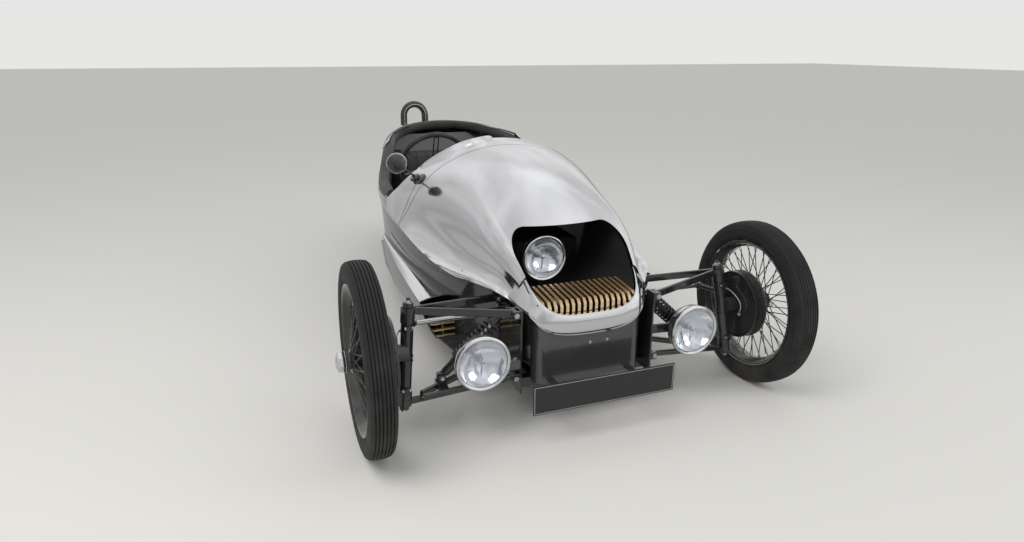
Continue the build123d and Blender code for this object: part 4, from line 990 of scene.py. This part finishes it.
def makeHelm():
    spec = helmSpec
    rake = math.radians(spec["rake"])
    n, u = Vector((0, math.cos(rake), math.sin(rake))), Vector((1, 0, 0))
    v = Vector((0, -math.sin(rake), math.cos(rake)))
    centre = spec["centre"]
    grip, bright, boss = bmesh.new(), bmesh.new(), bmesh.new()
    circle = [(spec["grip"] * math.cos(a), spec["radius"] + spec["grip"] * 0.94 * math.sin(a))
              for a in (2 * math.pi * k / spec["gripSides"] for k in range(spec["gripSides"]))]
    spinProfile(grip, circle, centre, n, 96, closed=True)
    for offset in (-0.0118, 0.0118):
        ring = [(offset - 0.0009, spec["radius"] - 0.0052), (offset + 0.0009, spec["radius"] - 0.0052),
                (offset + 0.0009, spec["radius"] - 0.0030), (offset - 0.0009, spec["radius"] - 0.0030)]
        spinProfile(bright, ring, centre, n, 96, closed=True)
    tipped = Matrix((u, v, n)).transposed().to_4x4()
    for k in range(spec["spokes"]):
        spokeBm = bmesh.new()
        bmesh.ops.create_grid(spokeBm, x_segments=1, y_segments=1, size=1,
                              matrix=Matrix.Diagonal((spec["spokeHalfLength"], spec["spokeWidth"] / 2, 1, 1)))
        bmesh.ops.inset_region(spokeBm, faces=spokeBm.faces[:], thickness=spec["slotEdge"], use_boundary=True,
                               use_even_offset=True)
        slot = max(spokeBm.faces, key=lambda face: min(edge.calc_length() for edge in face.edges))
        bmesh.ops.delete(spokeBm, geom=[slot], context="FACES")
        bmesh.ops.solidify(spokeBm, geom=spokeBm.faces[:], thickness=spec["spokeThick"])
        bmesh.ops.recalc_face_normals(spokeBm, faces=spokeBm.faces)
        tilt = (Matrix.Translation((spec["spokeMiddle"], 0, spec["spokeSink"]))
                @ Matrix.Rotation(-math.radians(spec["spokeTilt"]), 4, "Y"))
        turn = Matrix.Rotation(math.radians(90 + 360 * k / spec["spokes"]), 4, "Z")
        bmesh.ops.transform(spokeBm, matrix=Matrix.Translation(centre) @ tipped @ turn @ tilt,
                            verts=spokeBm.verts)
        spare = bpy.data.meshes.new("spoke")
        spokeBm.to_mesh(spare)
        spokeBm.free()
        bright.from_mesh(spare)
        bpy.data.meshes.remove(spare)
    spinProfile(boss, [(-0.034, 0.0), (-0.034, 0.026), (-0.030, 0.033), (-0.016, 0.034), (-0.013, 0.032),
                       (-0.013, 0.023), (-0.007, 0.021), (-0.002, 0.014), (0.000, 0.0)], centre, n, 40)
    spinProfile(bright, [(-0.0132, 0.0232), (-0.0132, 0.0268), (-0.0112, 0.0272), (-0.0105, 0.0250),
                         (-0.0112, 0.0232)], centre, n, 40, closed=True)
    for k in range(spec["bolts"]):
        a = 2 * math.pi * k / spec["bolts"] + spec["boltTurn"]
        place = (centre + u * (spec["boltCircle"] * math.cos(a)) + v * (spec["boltCircle"] * math.sin(a))
                 + n * spec["boltSink"])
        addHexHead(bright, place, n, 0.0045, 0.0022)
    spinProfile(bright, [(spec["shaftFrom"], 0.0), (spec["shaftFrom"], 0.0095), (-0.060, 0.0095),
                         (-0.058, 0.0150), (-0.036, 0.0160), (-0.034, 0.0160)], centre, n, 24)
    rim = finishPiece("helmRim", grip, "helm", paints["leather"], 60)
    finishPiece("helmSpokes", bright, "helm", paints["steel"], 35)
    finishPiece("helmBoss", boss, "helm", paints["black_plastic"], 35)
    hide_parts("steering_wheel")


makeHelm()

mirrorSpec = {"head": (-0.470, 0.762, 0.812), "foot": Vector((-0.385, 0.812, 0.738)),
              "footAxis": Vector((-0.51, 0.0, 0.86)).normalized(),
              "pad": (-0.3695, 0.777, 0.7405), "padAxis": (-0.696, -0.168, 0.698), "padRadius": 0.026}


def makeMirror():
    shell, bright, pane = bmesh.new(), bmesh.new(), bmesh.new()
    head = mirrorSpec["head"]
    spinProfile(shell, [(-0.0200, 0.0), (-0.0196, 0.008), (-0.0175, 0.0170), (-0.0130, 0.0262),
                        (-0.0060, 0.0340), (0.0020, 0.0388), (0.0100, 0.0412), (0.0145, 0.0416),
                        (0.0165, 0.0400), (0.0165, 0.0)], head, (0, 1, 0), 64)
    spinProfile(bright, [(0.0125, 0.0414), (0.0130, 0.0429), (0.0160, 0.0430), (0.0192, 0.0424),
                         (0.0200, 0.0405), (0.0192, 0.0385),
                         (0.0170, 0.0395)], head, (0, 1, 0), 64, closed=True)
    spinProfile(pane, [(0.0172, 0.0392), (0.0182, 0.0388), (0.0192, 0.0260), (0.0196, 0.0130), (0.0197, 0.0),
                       (0.0172, 0.0)], head, (0, 1, 0), 48)
    foot, axis = mirrorSpec["foot"], mirrorSpec["footAxis"]
    spinProfile(shell, [(0.0, 0.0), (0.0, 0.0225), (0.0080, 0.0225), (0.0110, 0.0212), (0.0120, 0.0185),
                        (0.0120, 0.0)], foot, axis, 40)
    pad = mirrorSpec["padRadius"]
    spinProfile(shell, [(-0.0020, 0.0), (-0.0020, pad), (0.0030, pad), (0.0048, pad - 0.0022), (0.0052, 0.0)],
                mirrorSpec["pad"], mirrorSpec["padAxis"], 44)
    elbow = foot + axis * 0.012
    bmesh.ops.create_uvsphere(shell, u_segments=20, v_segments=12, radius=0.0072,
                              matrix=Matrix.Translation(elbow + axis * 0.003))
    addWire(shell, (elbow, elbow + Vector((-0.022, -0.006, 0.020)), elbow + Vector((-0.052, -0.024, 0.042)),
                    Vector(head) + Vector((0.008, 0.004, -0.020))), 0.0042, sides=4)
    finishPiece("mirrorShell", shell, "car", paints["black_paint"], 40)
    finishPiece("mirrorRing", bright, "car", paints["lamp_chrome"], 40)
    glass = finishPiece("mirrorGlass", pane, "car", paints["lamp_chrome"], 40)
    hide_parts("mirror")


makeMirror()

hoopSpec = {"x": -0.125, "y": rearY - 0.430, "tube": 0.019, "arcSteps": 12, "straight": 0.03,
            "edgeRadius": 0.0022}


def makeHoop():
    spec = hoopSpec
    low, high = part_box("roll_hoop")
    tube = spec["tube"]
    half = (high[0] - low[0]) / 2 - tube
    top = high[2] - tube - half
    dark, bright = bmesh.new(), bmesh.new()
    turns = [math.pi * k / spec["arcSteps"] for k in range(spec["arcSteps"] + 1)]
    arc = [(spec["x"] + half * math.cos(a), spec["y"], top + half * math.sin(a)) for a in turns]
    legs = [(spec["x"] + half, spec["y"], z) for z in (low[2], top - spec["straight"])]
    others = [(spec["x"] - half, spec["y"], z) for z in (top - spec["straight"], low[2])]
    addWire(dark, legs + arc + others, tube, sides=6)
    edge = [(x, y - tube * 0.98, z) for x, y, z in legs + arc + others]
    addWire(bright, edge, spec["edgeRadius"], sides=2)
    for x in (spec["x"] - half, spec["x"] + half):
        spinProfile(bright, [(0.0, tube + 0.001), (0.0, tube + 0.010), (0.004, tube + 0.009),
                             (0.012, tube + 0.0022), (0.012, tube + 0.001)],
                    (x, spec["y"], low[2] + 0.004), (0, 0, 1), 32, closed=True)
    hoop = finishPiece("rollHoop", dark, "car", paints["black_paint"], 50)
    finishPiece("rollHoopTrim", bright, "car", paints["lamp_chrome"], 50)
    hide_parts("roll_hoop")


makeHoop()

dialSpec = {"y": 0.8625, "places": ((0.060, 0.735, 0.044), (0.165, 0.735, 0.044), (0.262, 0.722, 0.030)),
            "ticks": 24, "sweep": 270, "longEvery": 4, "longTick": 0.16, "shortTick": 0.09, "tickTop": 0.84,
            "switches": 5, "switchStart": 0.04, "switchPitch": 0.034, "switchZ": 0.655}


def makeDials():
    bezel, face, marks = bmesh.new(), bmesh.new(), bmesh.new()
    y = dialSpec["y"]
    for x, z, r in dialSpec["places"]:
        spinProfile(bezel, [(0.0, r + 0.003), (0.005, r + 0.003), (0.009, r), (0.009, r - 0.003),
                            (0.003, r - 0.004)], (x, y, z), (0, 1, 0), 48)
        spinProfile(face, [(0.0030, 0.0), (0.0030, r - 0.0035)], (x, y, z), (0, 1, 0), 48)
        for k in range(dialSpec["ticks"] + 1):
            a = math.radians(-dialSpec["sweep"] / 2 + dialSpec["sweep"] * k / dialSpec["ticks"])
            reach = r * (dialSpec["shortTick"] if k % dialSpec["longEvery"] else dialSpec["longTick"])
            tip = Vector((math.sin(a), 0, math.cos(a)))
            start = Vector((x, y + 0.0034, z)) + tip * (r * dialSpec["tickTop"] - reach)
            addRod(marks, start, start + tip * reach, 0.0006, 4)
        addRod(marks, (x, y + 0.0044, z), (x - r * 0.42, y + 0.0044, z - r * 0.30), 0.0009, 6, 0.0004)
        spinProfile(bezel, [(0.003, 0.0), (0.003, 0.0035), (0.006, 0.0030), (0.006, 0.0)], (x, y, z),
                    (0, 1, 0), 16)
    for k in range(dialSpec["switches"]):
        x, z = dialSpec["switchStart"] + k * dialSpec["switchPitch"], dialSpec["switchZ"]
        spinProfile(bezel, [(0.0, 0.0075), (0.003, 0.0070), (0.0035, 0.0045), (0.0035, 0.0)], (x, y, z),
                    (0, 1, 0), 16)
        addRod(bezel, (x, y + 0.003, z), (x, y + 0.016, z - 0.005), 0.0022, 8, 0.0036)
    finishPiece("dialRings", bezel, "car", paints["lamp_chrome"], 40)
    finishPiece("dialFaces", face, "car", paints["black_plastic"], 40)
    finishPiece("dialMarks", marks, "car", markFinish, 40)


markFinish = sprayedMetal("dialMark", (0.85, 0.84, 0.80), 0.0, (0.45, 0.6))
makeDials()

tailLamp = {"reach": 0.045}


def makeTailLamp(label, node):
    # a chrome bullet with a ribbed red glass
    low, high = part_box(node)
    centre = ((low[0] + high[0]) / 2, high[1] - axleY - tailLamp["reach"], (low[2] + high[2]) / 2)
    shell, lens = bmesh.new(), bmesh.new()
    spinProfile(shell, [(-0.045, 0.0), (-0.040, 0.010), (-0.024, 0.0205), (-0.004, 0.0268), (0.014, 0.0285),
                        (0.021, 0.0300), (0.026, 0.0298),
                        (0.029, 0.0270), (0.024, 0.0255), (0.024, 0.0)], centre, (0, 1, 0), 44)
    spinProfile(lens, [(0.0245, 0.0), (0.0245, 0.0252), (0.0310, 0.0248), (0.0325, 0.0225), (0.0312, 0.0205),
                       (0.0345, 0.0185), (0.0355, 0.0160), (0.0345, 0.0140), (0.0378, 0.0118),
                       (0.0386, 0.0090), (0.0380, 0.0072), (0.0408, 0.0045), (0.0415, 0.0)], centre,
                (0, 1, 0), 44)
    finishPiece("tailCup" + label, shell, "car", paints["lamp_chrome"], 40)
    glass = finishPiece("tailGlass" + label, lens, "car", paints["red_lens"], 30)
    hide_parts(node)


makeTailLamp("Left", "tail_lamp_left")
makeTailLamp("Right", "tail_lamp_right")
print("cabin fittings made")

seamSpec = {"node": "scuttle", "point": Vector((0, 0.800, 0.80)), "lean": 0.235, "width": 0.0022,
            "proud": 0.00025, "skipFrom": -0.372, "skipTo": 0.02}


def surfaceStrip(bm, point, normal, width, proud):
    # keeps the outer skin between two planes and lifts it a hair off the metal
    normal = Vector(normal).normalized()
    for way in (-1, 1):
        bmesh.ops.bisect_plane(bm, geom=bm.verts[:] + bm.edges[:] + bm.faces[:],
                               plane_co=Vector(point) + normal * width / 2 * way,
                               plane_no=normal * way, clear_outer=True)
    middleHeight = 0.50
    away = []
    for face in bm.faces:
        middle = face.calc_center_median()
        outward = Vector((middle.x, 0, middle.z - middleHeight))
        if face.normal.dot(outward) <= 0 or abs(face.normal.dot(normal)) > 0.8:
            away.append(face)
    bmesh.ops.delete(bm, geom=away, context="FACES")
    for vert in bm.verts:
        vert.co += vert.normal * proud


def makeSeam():
    spec = seamSpec
    bm = cadCopy(spec["node"])
    bm.normal_update()
    surfaceStrip(bm, spec["point"], (0, 1, -spec["lean"]), spec["width"], spec["proud"])
    out = [face for face in bm.faces if spec["skipFrom"] < face.calc_center_median().x < spec["skipTo"]]
    bmesh.ops.delete(bm, geom=out, context="FACES")
    finishPiece("scuttleSeam", bm, "car", paints["black_plastic"], 60)


makeSeam()

rollTrim = {"radius": 0.0026, "offset": 0.0245, "height": 0.60,
            "course": ((0.455, 0.968, 0.668, 0.579), (0.455, 1.090, 0.668, 0.578),
                       (0.446, 1.200, 0.672, 0.577), (0.428, 1.300, 0.690, 0.582),
                       (0.396, 1.400, 0.740, 0.640), (0.352, 1.515, 0.797, 0.722),
                       (0.302, 1.665, 0.826, 0.770), (0.218, 1.775, 0.854, 0.802),
                       (0.110, 1.834, 0.868, 0.818), (0.0, 1.856, 0.872, 0.822))}


def makeRollTrim():
    # a bright bead where the panel meets the padded roll, right round
    spec = rollTrim
    half = list(spec["course"])
    course = half + [(-x, y, top, bottom) for x, y, top, bottom in half[-2::-1]]
    points = []
    for n, (x, y, top, bottom) in enumerate(course):
        before, after = course[max(n - 1, 0)], course[min(n + 1, len(course) - 1)]
        way = Vector((after[0] - before[0], after[1] - before[1], 0)).normalized()
        out = Vector((way.y, -way.x, 0))
        points.append(Vector((x, y, bottom + (top - bottom) * spec["height"])) + out * spec["offset"])
    bm = bmesh.new()
    addWire(bm, points, spec["radius"], sides=3, order=4)
    finishPiece("rollTrim", bm, "car", paints["lamp_chrome"], 60)


makeRollTrim()
print("trim made")

padSpec = {
    "coaming": {"voxel": 0.006, "shrink": 0.003, "cap": 0.006, "pressure": 3.0, "fill": 0.9},
    "seat_cushion": {"voxel": 0.007, "shrink": 0.008, "cap": 0.022, "pressure": 4.0, "fill": 0.7},
    "seat_back": {"voxel": 0.0068, "shrink": 0.006, "cap": 0.022, "pressure": 4.0, "fill": 0.7},
}
clothRun = {"frames": 20, "quality": 5, "smoothings": 2}
seatLean = 14  # degrees
seatChannels = {"pitch": 0.058, "half": 0.0052, "depth": 0.0085, "gap": 0.014, "gapDepth": 0.020,
                "facingFrom": 0.15, "gapClear": 1.6, "slopeGain": 1.6, "squabEdge": 0.045,
                "cushionEdge": 0.06}


def puffUp(piece, spec):
    # remeshed, blown up as cloth, held within a cap, applied
    remesh = piece.modifiers.new("remesh", "REMESH")
    remesh.mode = "VOXEL"
    remesh.voxel_size = spec["voxel"]
    depsgraph = bpy.context.evaluated_depsgraph_get()
    mesh = bpy.data.meshes.new_from_object(piece.evaluated_get(depsgraph))
    piece.modifiers.clear()
    piece.data = mesh
    bm = bmesh.new()
    bm.from_mesh(mesh)
    for turn in range(clothRun["smoothings"]):
        bmesh.ops.smooth_vert(bm, verts=bm.verts, factor=0.5, use_axis_x=True, use_axis_y=True,
                              use_axis_z=True)
    for vert in bm.verts:
        vert.co -= vert.normal * spec["shrink"]
    bm.to_mesh(mesh)
    bm.free()
    before = [vert.co.copy() for vert in mesh.vertices]
    cloth = piece.modifiers.new("cloth", "CLOTH")
    cloth.settings.use_pressure = True
    cloth.settings.uniform_pressure_force = spec["pressure"]
    cloth.settings.quality = clothRun["quality"]
    cloth.settings.effector_weights.gravity = 0
    cloth.point_cache.frame_start = 1
    cloth.point_cache.frame_end = clothRun["frames"]
    scene = bpy.context.scene
    for step in range(1, clothRun["frames"] + 1):
        scene.frame_set(step)
    depsgraph = bpy.context.evaluated_depsgraph_get()
    puffed = bpy.data.meshes.new_from_object(piece.evaluated_get(depsgraph))
    for vert, old in zip(puffed.vertices, before):
        move = vert.co - old
        if move.length > spec["cap"]:
            vert.co = old + move.normalized() * spec["cap"]
    piece.modifiers.clear()
    piece.data = puffed
    scene.frame_set(1)


def softPiece(name, node):
    bm = cadCopy(node)
    bmesh.ops.translate(bm, vec=(0, axleY, 0), verts=bm.verts)
    mesh = bpy.data.meshes.new(name)
    bm.to_mesh(mesh)
    bm.free()
    piece = bpy.data.objects.new(name, mesh)
    bpy.context.scene.collection.objects.link(piece)
    spec = padSpec[node]
    puffUp(piece, spec)
    piece.data.materials.clear()
    piece.data.materials.append(paints["leather"])
    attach(piece, "car")
    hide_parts(node)
    return piece


def sewChannels(piece, normal, keepEdge):
    # straight flutes up the pad, and a deeper parting between the two places
    spec = seatChannels
    low = Vector((min(v.co[k] for v in piece.data.vertices) for k in range(3)))
    high = Vector((max(v.co[k] for v in piece.data.vertices) for k in range(3)))
    for vert in piece.data.vertices:
        facing = vert.normal.dot(normal)
        if facing < spec["facingFrom"]:
            continue
        x = vert.co.x
        deep = spec["gapDepth"] * math.exp(-(x / spec["gap"]) ** 2)
        edge = min(high.x - x, x - low.x)
        if edge > keepEdge and abs(x) > spec["gap"] * spec["gapClear"]:
            off = (abs(x) / spec["pitch"]) % 1.0
            off = min(off, 1 - off) * spec["pitch"]
            deep += spec["depth"] * math.exp(-(off / spec["half"]) ** 2)
        vert.co -= normal * deep * min(1.0, facing * spec["slopeGain"])


def finishPad(piece, levels=1):
    sub = piece.modifiers.new("subdivision", "SUBSURF")
    sub.levels = sub.render_levels = levels
    piece.data.shade_smooth()


roll = softPiece("cockpitRoll", "coaming")
finishPad(roll, 1)
squab = softPiece("squab", "seat_back")
lean = math.radians(seatLean)
sewChannels(squab, Vector((0, -math.cos(lean), math.sin(lean))), seatChannels["squabEdge"])
finishPad(squab)
cushion = softPiece("cushion", "seat_cushion")
sewChannels(cushion, Vector((0, 0, 1)), seatChannels["cushionEdge"])
finishPad(cushion)
print("seats and roll padded")

studio = {
    "cameraPlace": (-1.0471, -2.0715, 1.2796), "yaw": 0.3650, "pitch": 0.3144, "roll": 0.0039, "lens": 24.49,
    "sensor": 36, "aim": (0, 0.8, 0.4), "floorHalf": 40, "floorColor": (0.60, 0.585, 0.55),
    "backColor": (0.80, 0.80, 0.79), "skyStrength": 0.85, "mirrorStrength": 2.05,
    # what mirrors see runs evenly from straight down to a white spot straight up
    "skyTones": (0.25, 0.6, 1.0), "spotFrom": 0.9999,
    "rightSide": 0.52, "leftSide": 1.02, "cloudLow": 0.62, "floorInMirrors": (0.40, 0.395, 0.38),
    "keyPlace": (-2.6, -1.2, 4.2), "keySize": 2.6, "keyPower": 120.0,
    "fillPlace": (3.6, -2.4, 2.6), "fillSize": 2.2, "fillPower": 40.0,
}


def makeCamera():
    camera = bpy.data.objects.new("photoCamera", bpy.data.cameras.new("photoCamera"))
    bpy.context.scene.collection.objects.link(camera)
    camera.data.lens = studio["lens"]
    camera.data.sensor_width = studio["sensor"]
    yaw, pitch, roll = studio["yaw"], studio["pitch"], studio["roll"]
    turn = (Matrix.Rotation(-yaw, 4, "Z") @ Matrix.Rotation(math.pi / 2 - pitch, 4, "X")
            @ Matrix.Rotation(roll, 4, "Z"))
    camera.matrix_world = Matrix.Translation(at(*studio["cameraPlace"])) @ turn
    bpy.context.scene.camera = camera


def makeFloor():
    bm = bmesh.new()
    bmesh.ops.create_grid(bm, x_segments=1, y_segments=1, size=studio["floorHalf"])
    mesh = bpy.data.meshes.new("floor")
    bm.to_mesh(mesh)
    bm.free()
    floor = bpy.data.objects.new("floor", mesh)
    bpy.context.scene.collection.objects.link(floor)
    material, tree, shader = newMaterial("floorPaint", **{"Specular IOR Level": 0.2})
    finish = placeGroup(tree, finishGroup, {"Ripple": 0.1, "Ripple Scale": 200.0, "Rough Low": 0.7,
                                            "Rough High": 0.85})
    path = addNode(tree, "ShaderNodeLightPath")
    # glossy rays see the floor in a darker tone: a painted reflection, darker than the floor itself, for the
    # body's reflections from below
    tone = addNode(tree, "ShaderNodeMix",
                   {"A": (*studio["floorColor"], 1), "B": (*studio["floorInMirrors"], 1)}, data_type="RGBA")
    tree.links.new(path.outputs["Is Glossy Ray"], tone.inputs["Factor"])
    tree.links.new(tone.outputs["Result"], shader.inputs["Base Color"])
    tree.links.new(finish.outputs["Roughness"], shader.inputs["Roughness"])
    mesh.materials.append(material)


def makeWorld():
    # mirrors see light that grows with height and from side to side, the lens a plain pale backdrop
    world = bpy.data.worlds.new("studioSky")
    bpy.context.scene.world = world
    world.use_nodes = True
    tree = world.node_tree
    link = tree.links.new
    light = tree.nodes["Background"]
    coords = addNode(tree, "ShaderNodeTexCoord")
    split = addNode(tree, "ShaderNodeSeparateXYZ")
    height = addNode(tree, "ShaderNodeMapRange", {"From Min": -1.0})
    across = addNode(tree, "ShaderNodeMapRange",
                     {"From Min": -0.9, "From Max": 0.9, "To Min": studio["rightSide"],
                      "To Max": studio["leftSide"]})
    ramp = addNode(tree, "ShaderNodeValToRGB")
    stops = ramp.color_ramp.elements
    stops.new(studio["spotFrom"])
    for stop, tone in zip(stops, studio["skyTones"]):
        stop.color = (tone, tone, tone * 1.01, 1)
    mirrored = addNode(tree, "ShaderNodeBackground", {"Strength": studio["mirrorStrength"]})
    plain = addNode(tree, "ShaderNodeBackground", {"Color": (*studio["backColor"], 1)})
    path = addNode(tree, "ShaderNodeLightPath")
    cloud = addNode(tree, "ShaderNodeTexNoise", {"Scale": 2.2, "Detail": 3.0, "Roughness": 0.5})
    haze = addNode(tree, "ShaderNodeMapRange",
                   {"From Min": 0.35, "From Max": 0.65, "To Min": studio["cloudLow"], "To Max": 1.0})
    clouded = addNode(tree, "ShaderNodeMath", operation="MULTIPLY")
    shaded = addNode(tree, "ShaderNodeMix", {"Factor": 1.0}, data_type="RGBA", blend_type="MULTIPLY")
    seen = addNode(tree, "ShaderNodeMixShader")
    whole = addNode(tree, "ShaderNodeMixShader")
    link(coords.outputs["Generated"], split.inputs["Vector"])
    link(split.outputs["Z"], height.inputs["Value"])
    link(split.outputs["X"], across.inputs["Value"])
    link(height.outputs["Result"], ramp.inputs["Fac"])
    link(ramp.outputs["Color"], shaded.inputs["A"])
    link(coords.outputs["Generated"], cloud.inputs["Vector"])
    link(cloud.outputs["Fac"], haze.inputs["Value"])
    link(across.outputs["Result"], clouded.inputs[0])
    link(haze.outputs["Result"], clouded.inputs[1])
    link(clouded.outputs["Value"], shaded.inputs["B"])
    link(shaded.outputs["Result"], mirrored.inputs["Color"])
    link(path.outputs["Is Glossy Ray"], seen.inputs["Fac"])
    link(light.outputs["Background"], seen.inputs[1])
    link(mirrored.outputs["Background"], seen.inputs[2])
    link(path.outputs["Is Camera Ray"], whole.inputs["Fac"])
    link(seen.outputs["Shader"], whole.inputs[1])
    link(plain.outputs["Background"], whole.inputs[2])
    link(whole.outputs["Shader"], tree.nodes["World Output"].inputs["Surface"])
    light.inputs["Color"].default_value = (0.96, 0.98, 1.0, 1)
    light.inputs["Strength"].default_value = studio["skyStrength"]


def makeSoftBox(name, place, size, power):
    lamp = bpy.data.objects.new(name, bpy.data.lights.new(name, "AREA"))
    lamp.data.size = size
    lamp.data.energy = power
    lamp.visible_glossy = False
    bpy.context.scene.collection.objects.link(lamp)
    lamp.location = at(*place)
    aim = at(*studio["aim"]) - lamp.location
    lamp.rotation_euler = aim.to_track_quat("-Z", "Y").to_euler()


makeCamera()
makeFloor()
makeWorld()
makeSoftBox("keyLight", studio["keyPlace"], studio["keySize"], studio["keyPower"])
makeSoftBox("fillLight", studio["fillPlace"], studio["fillSize"], studio["fillPower"])
bpy.context.scene.view_settings.view_transform = "Standard"
print("studio set")
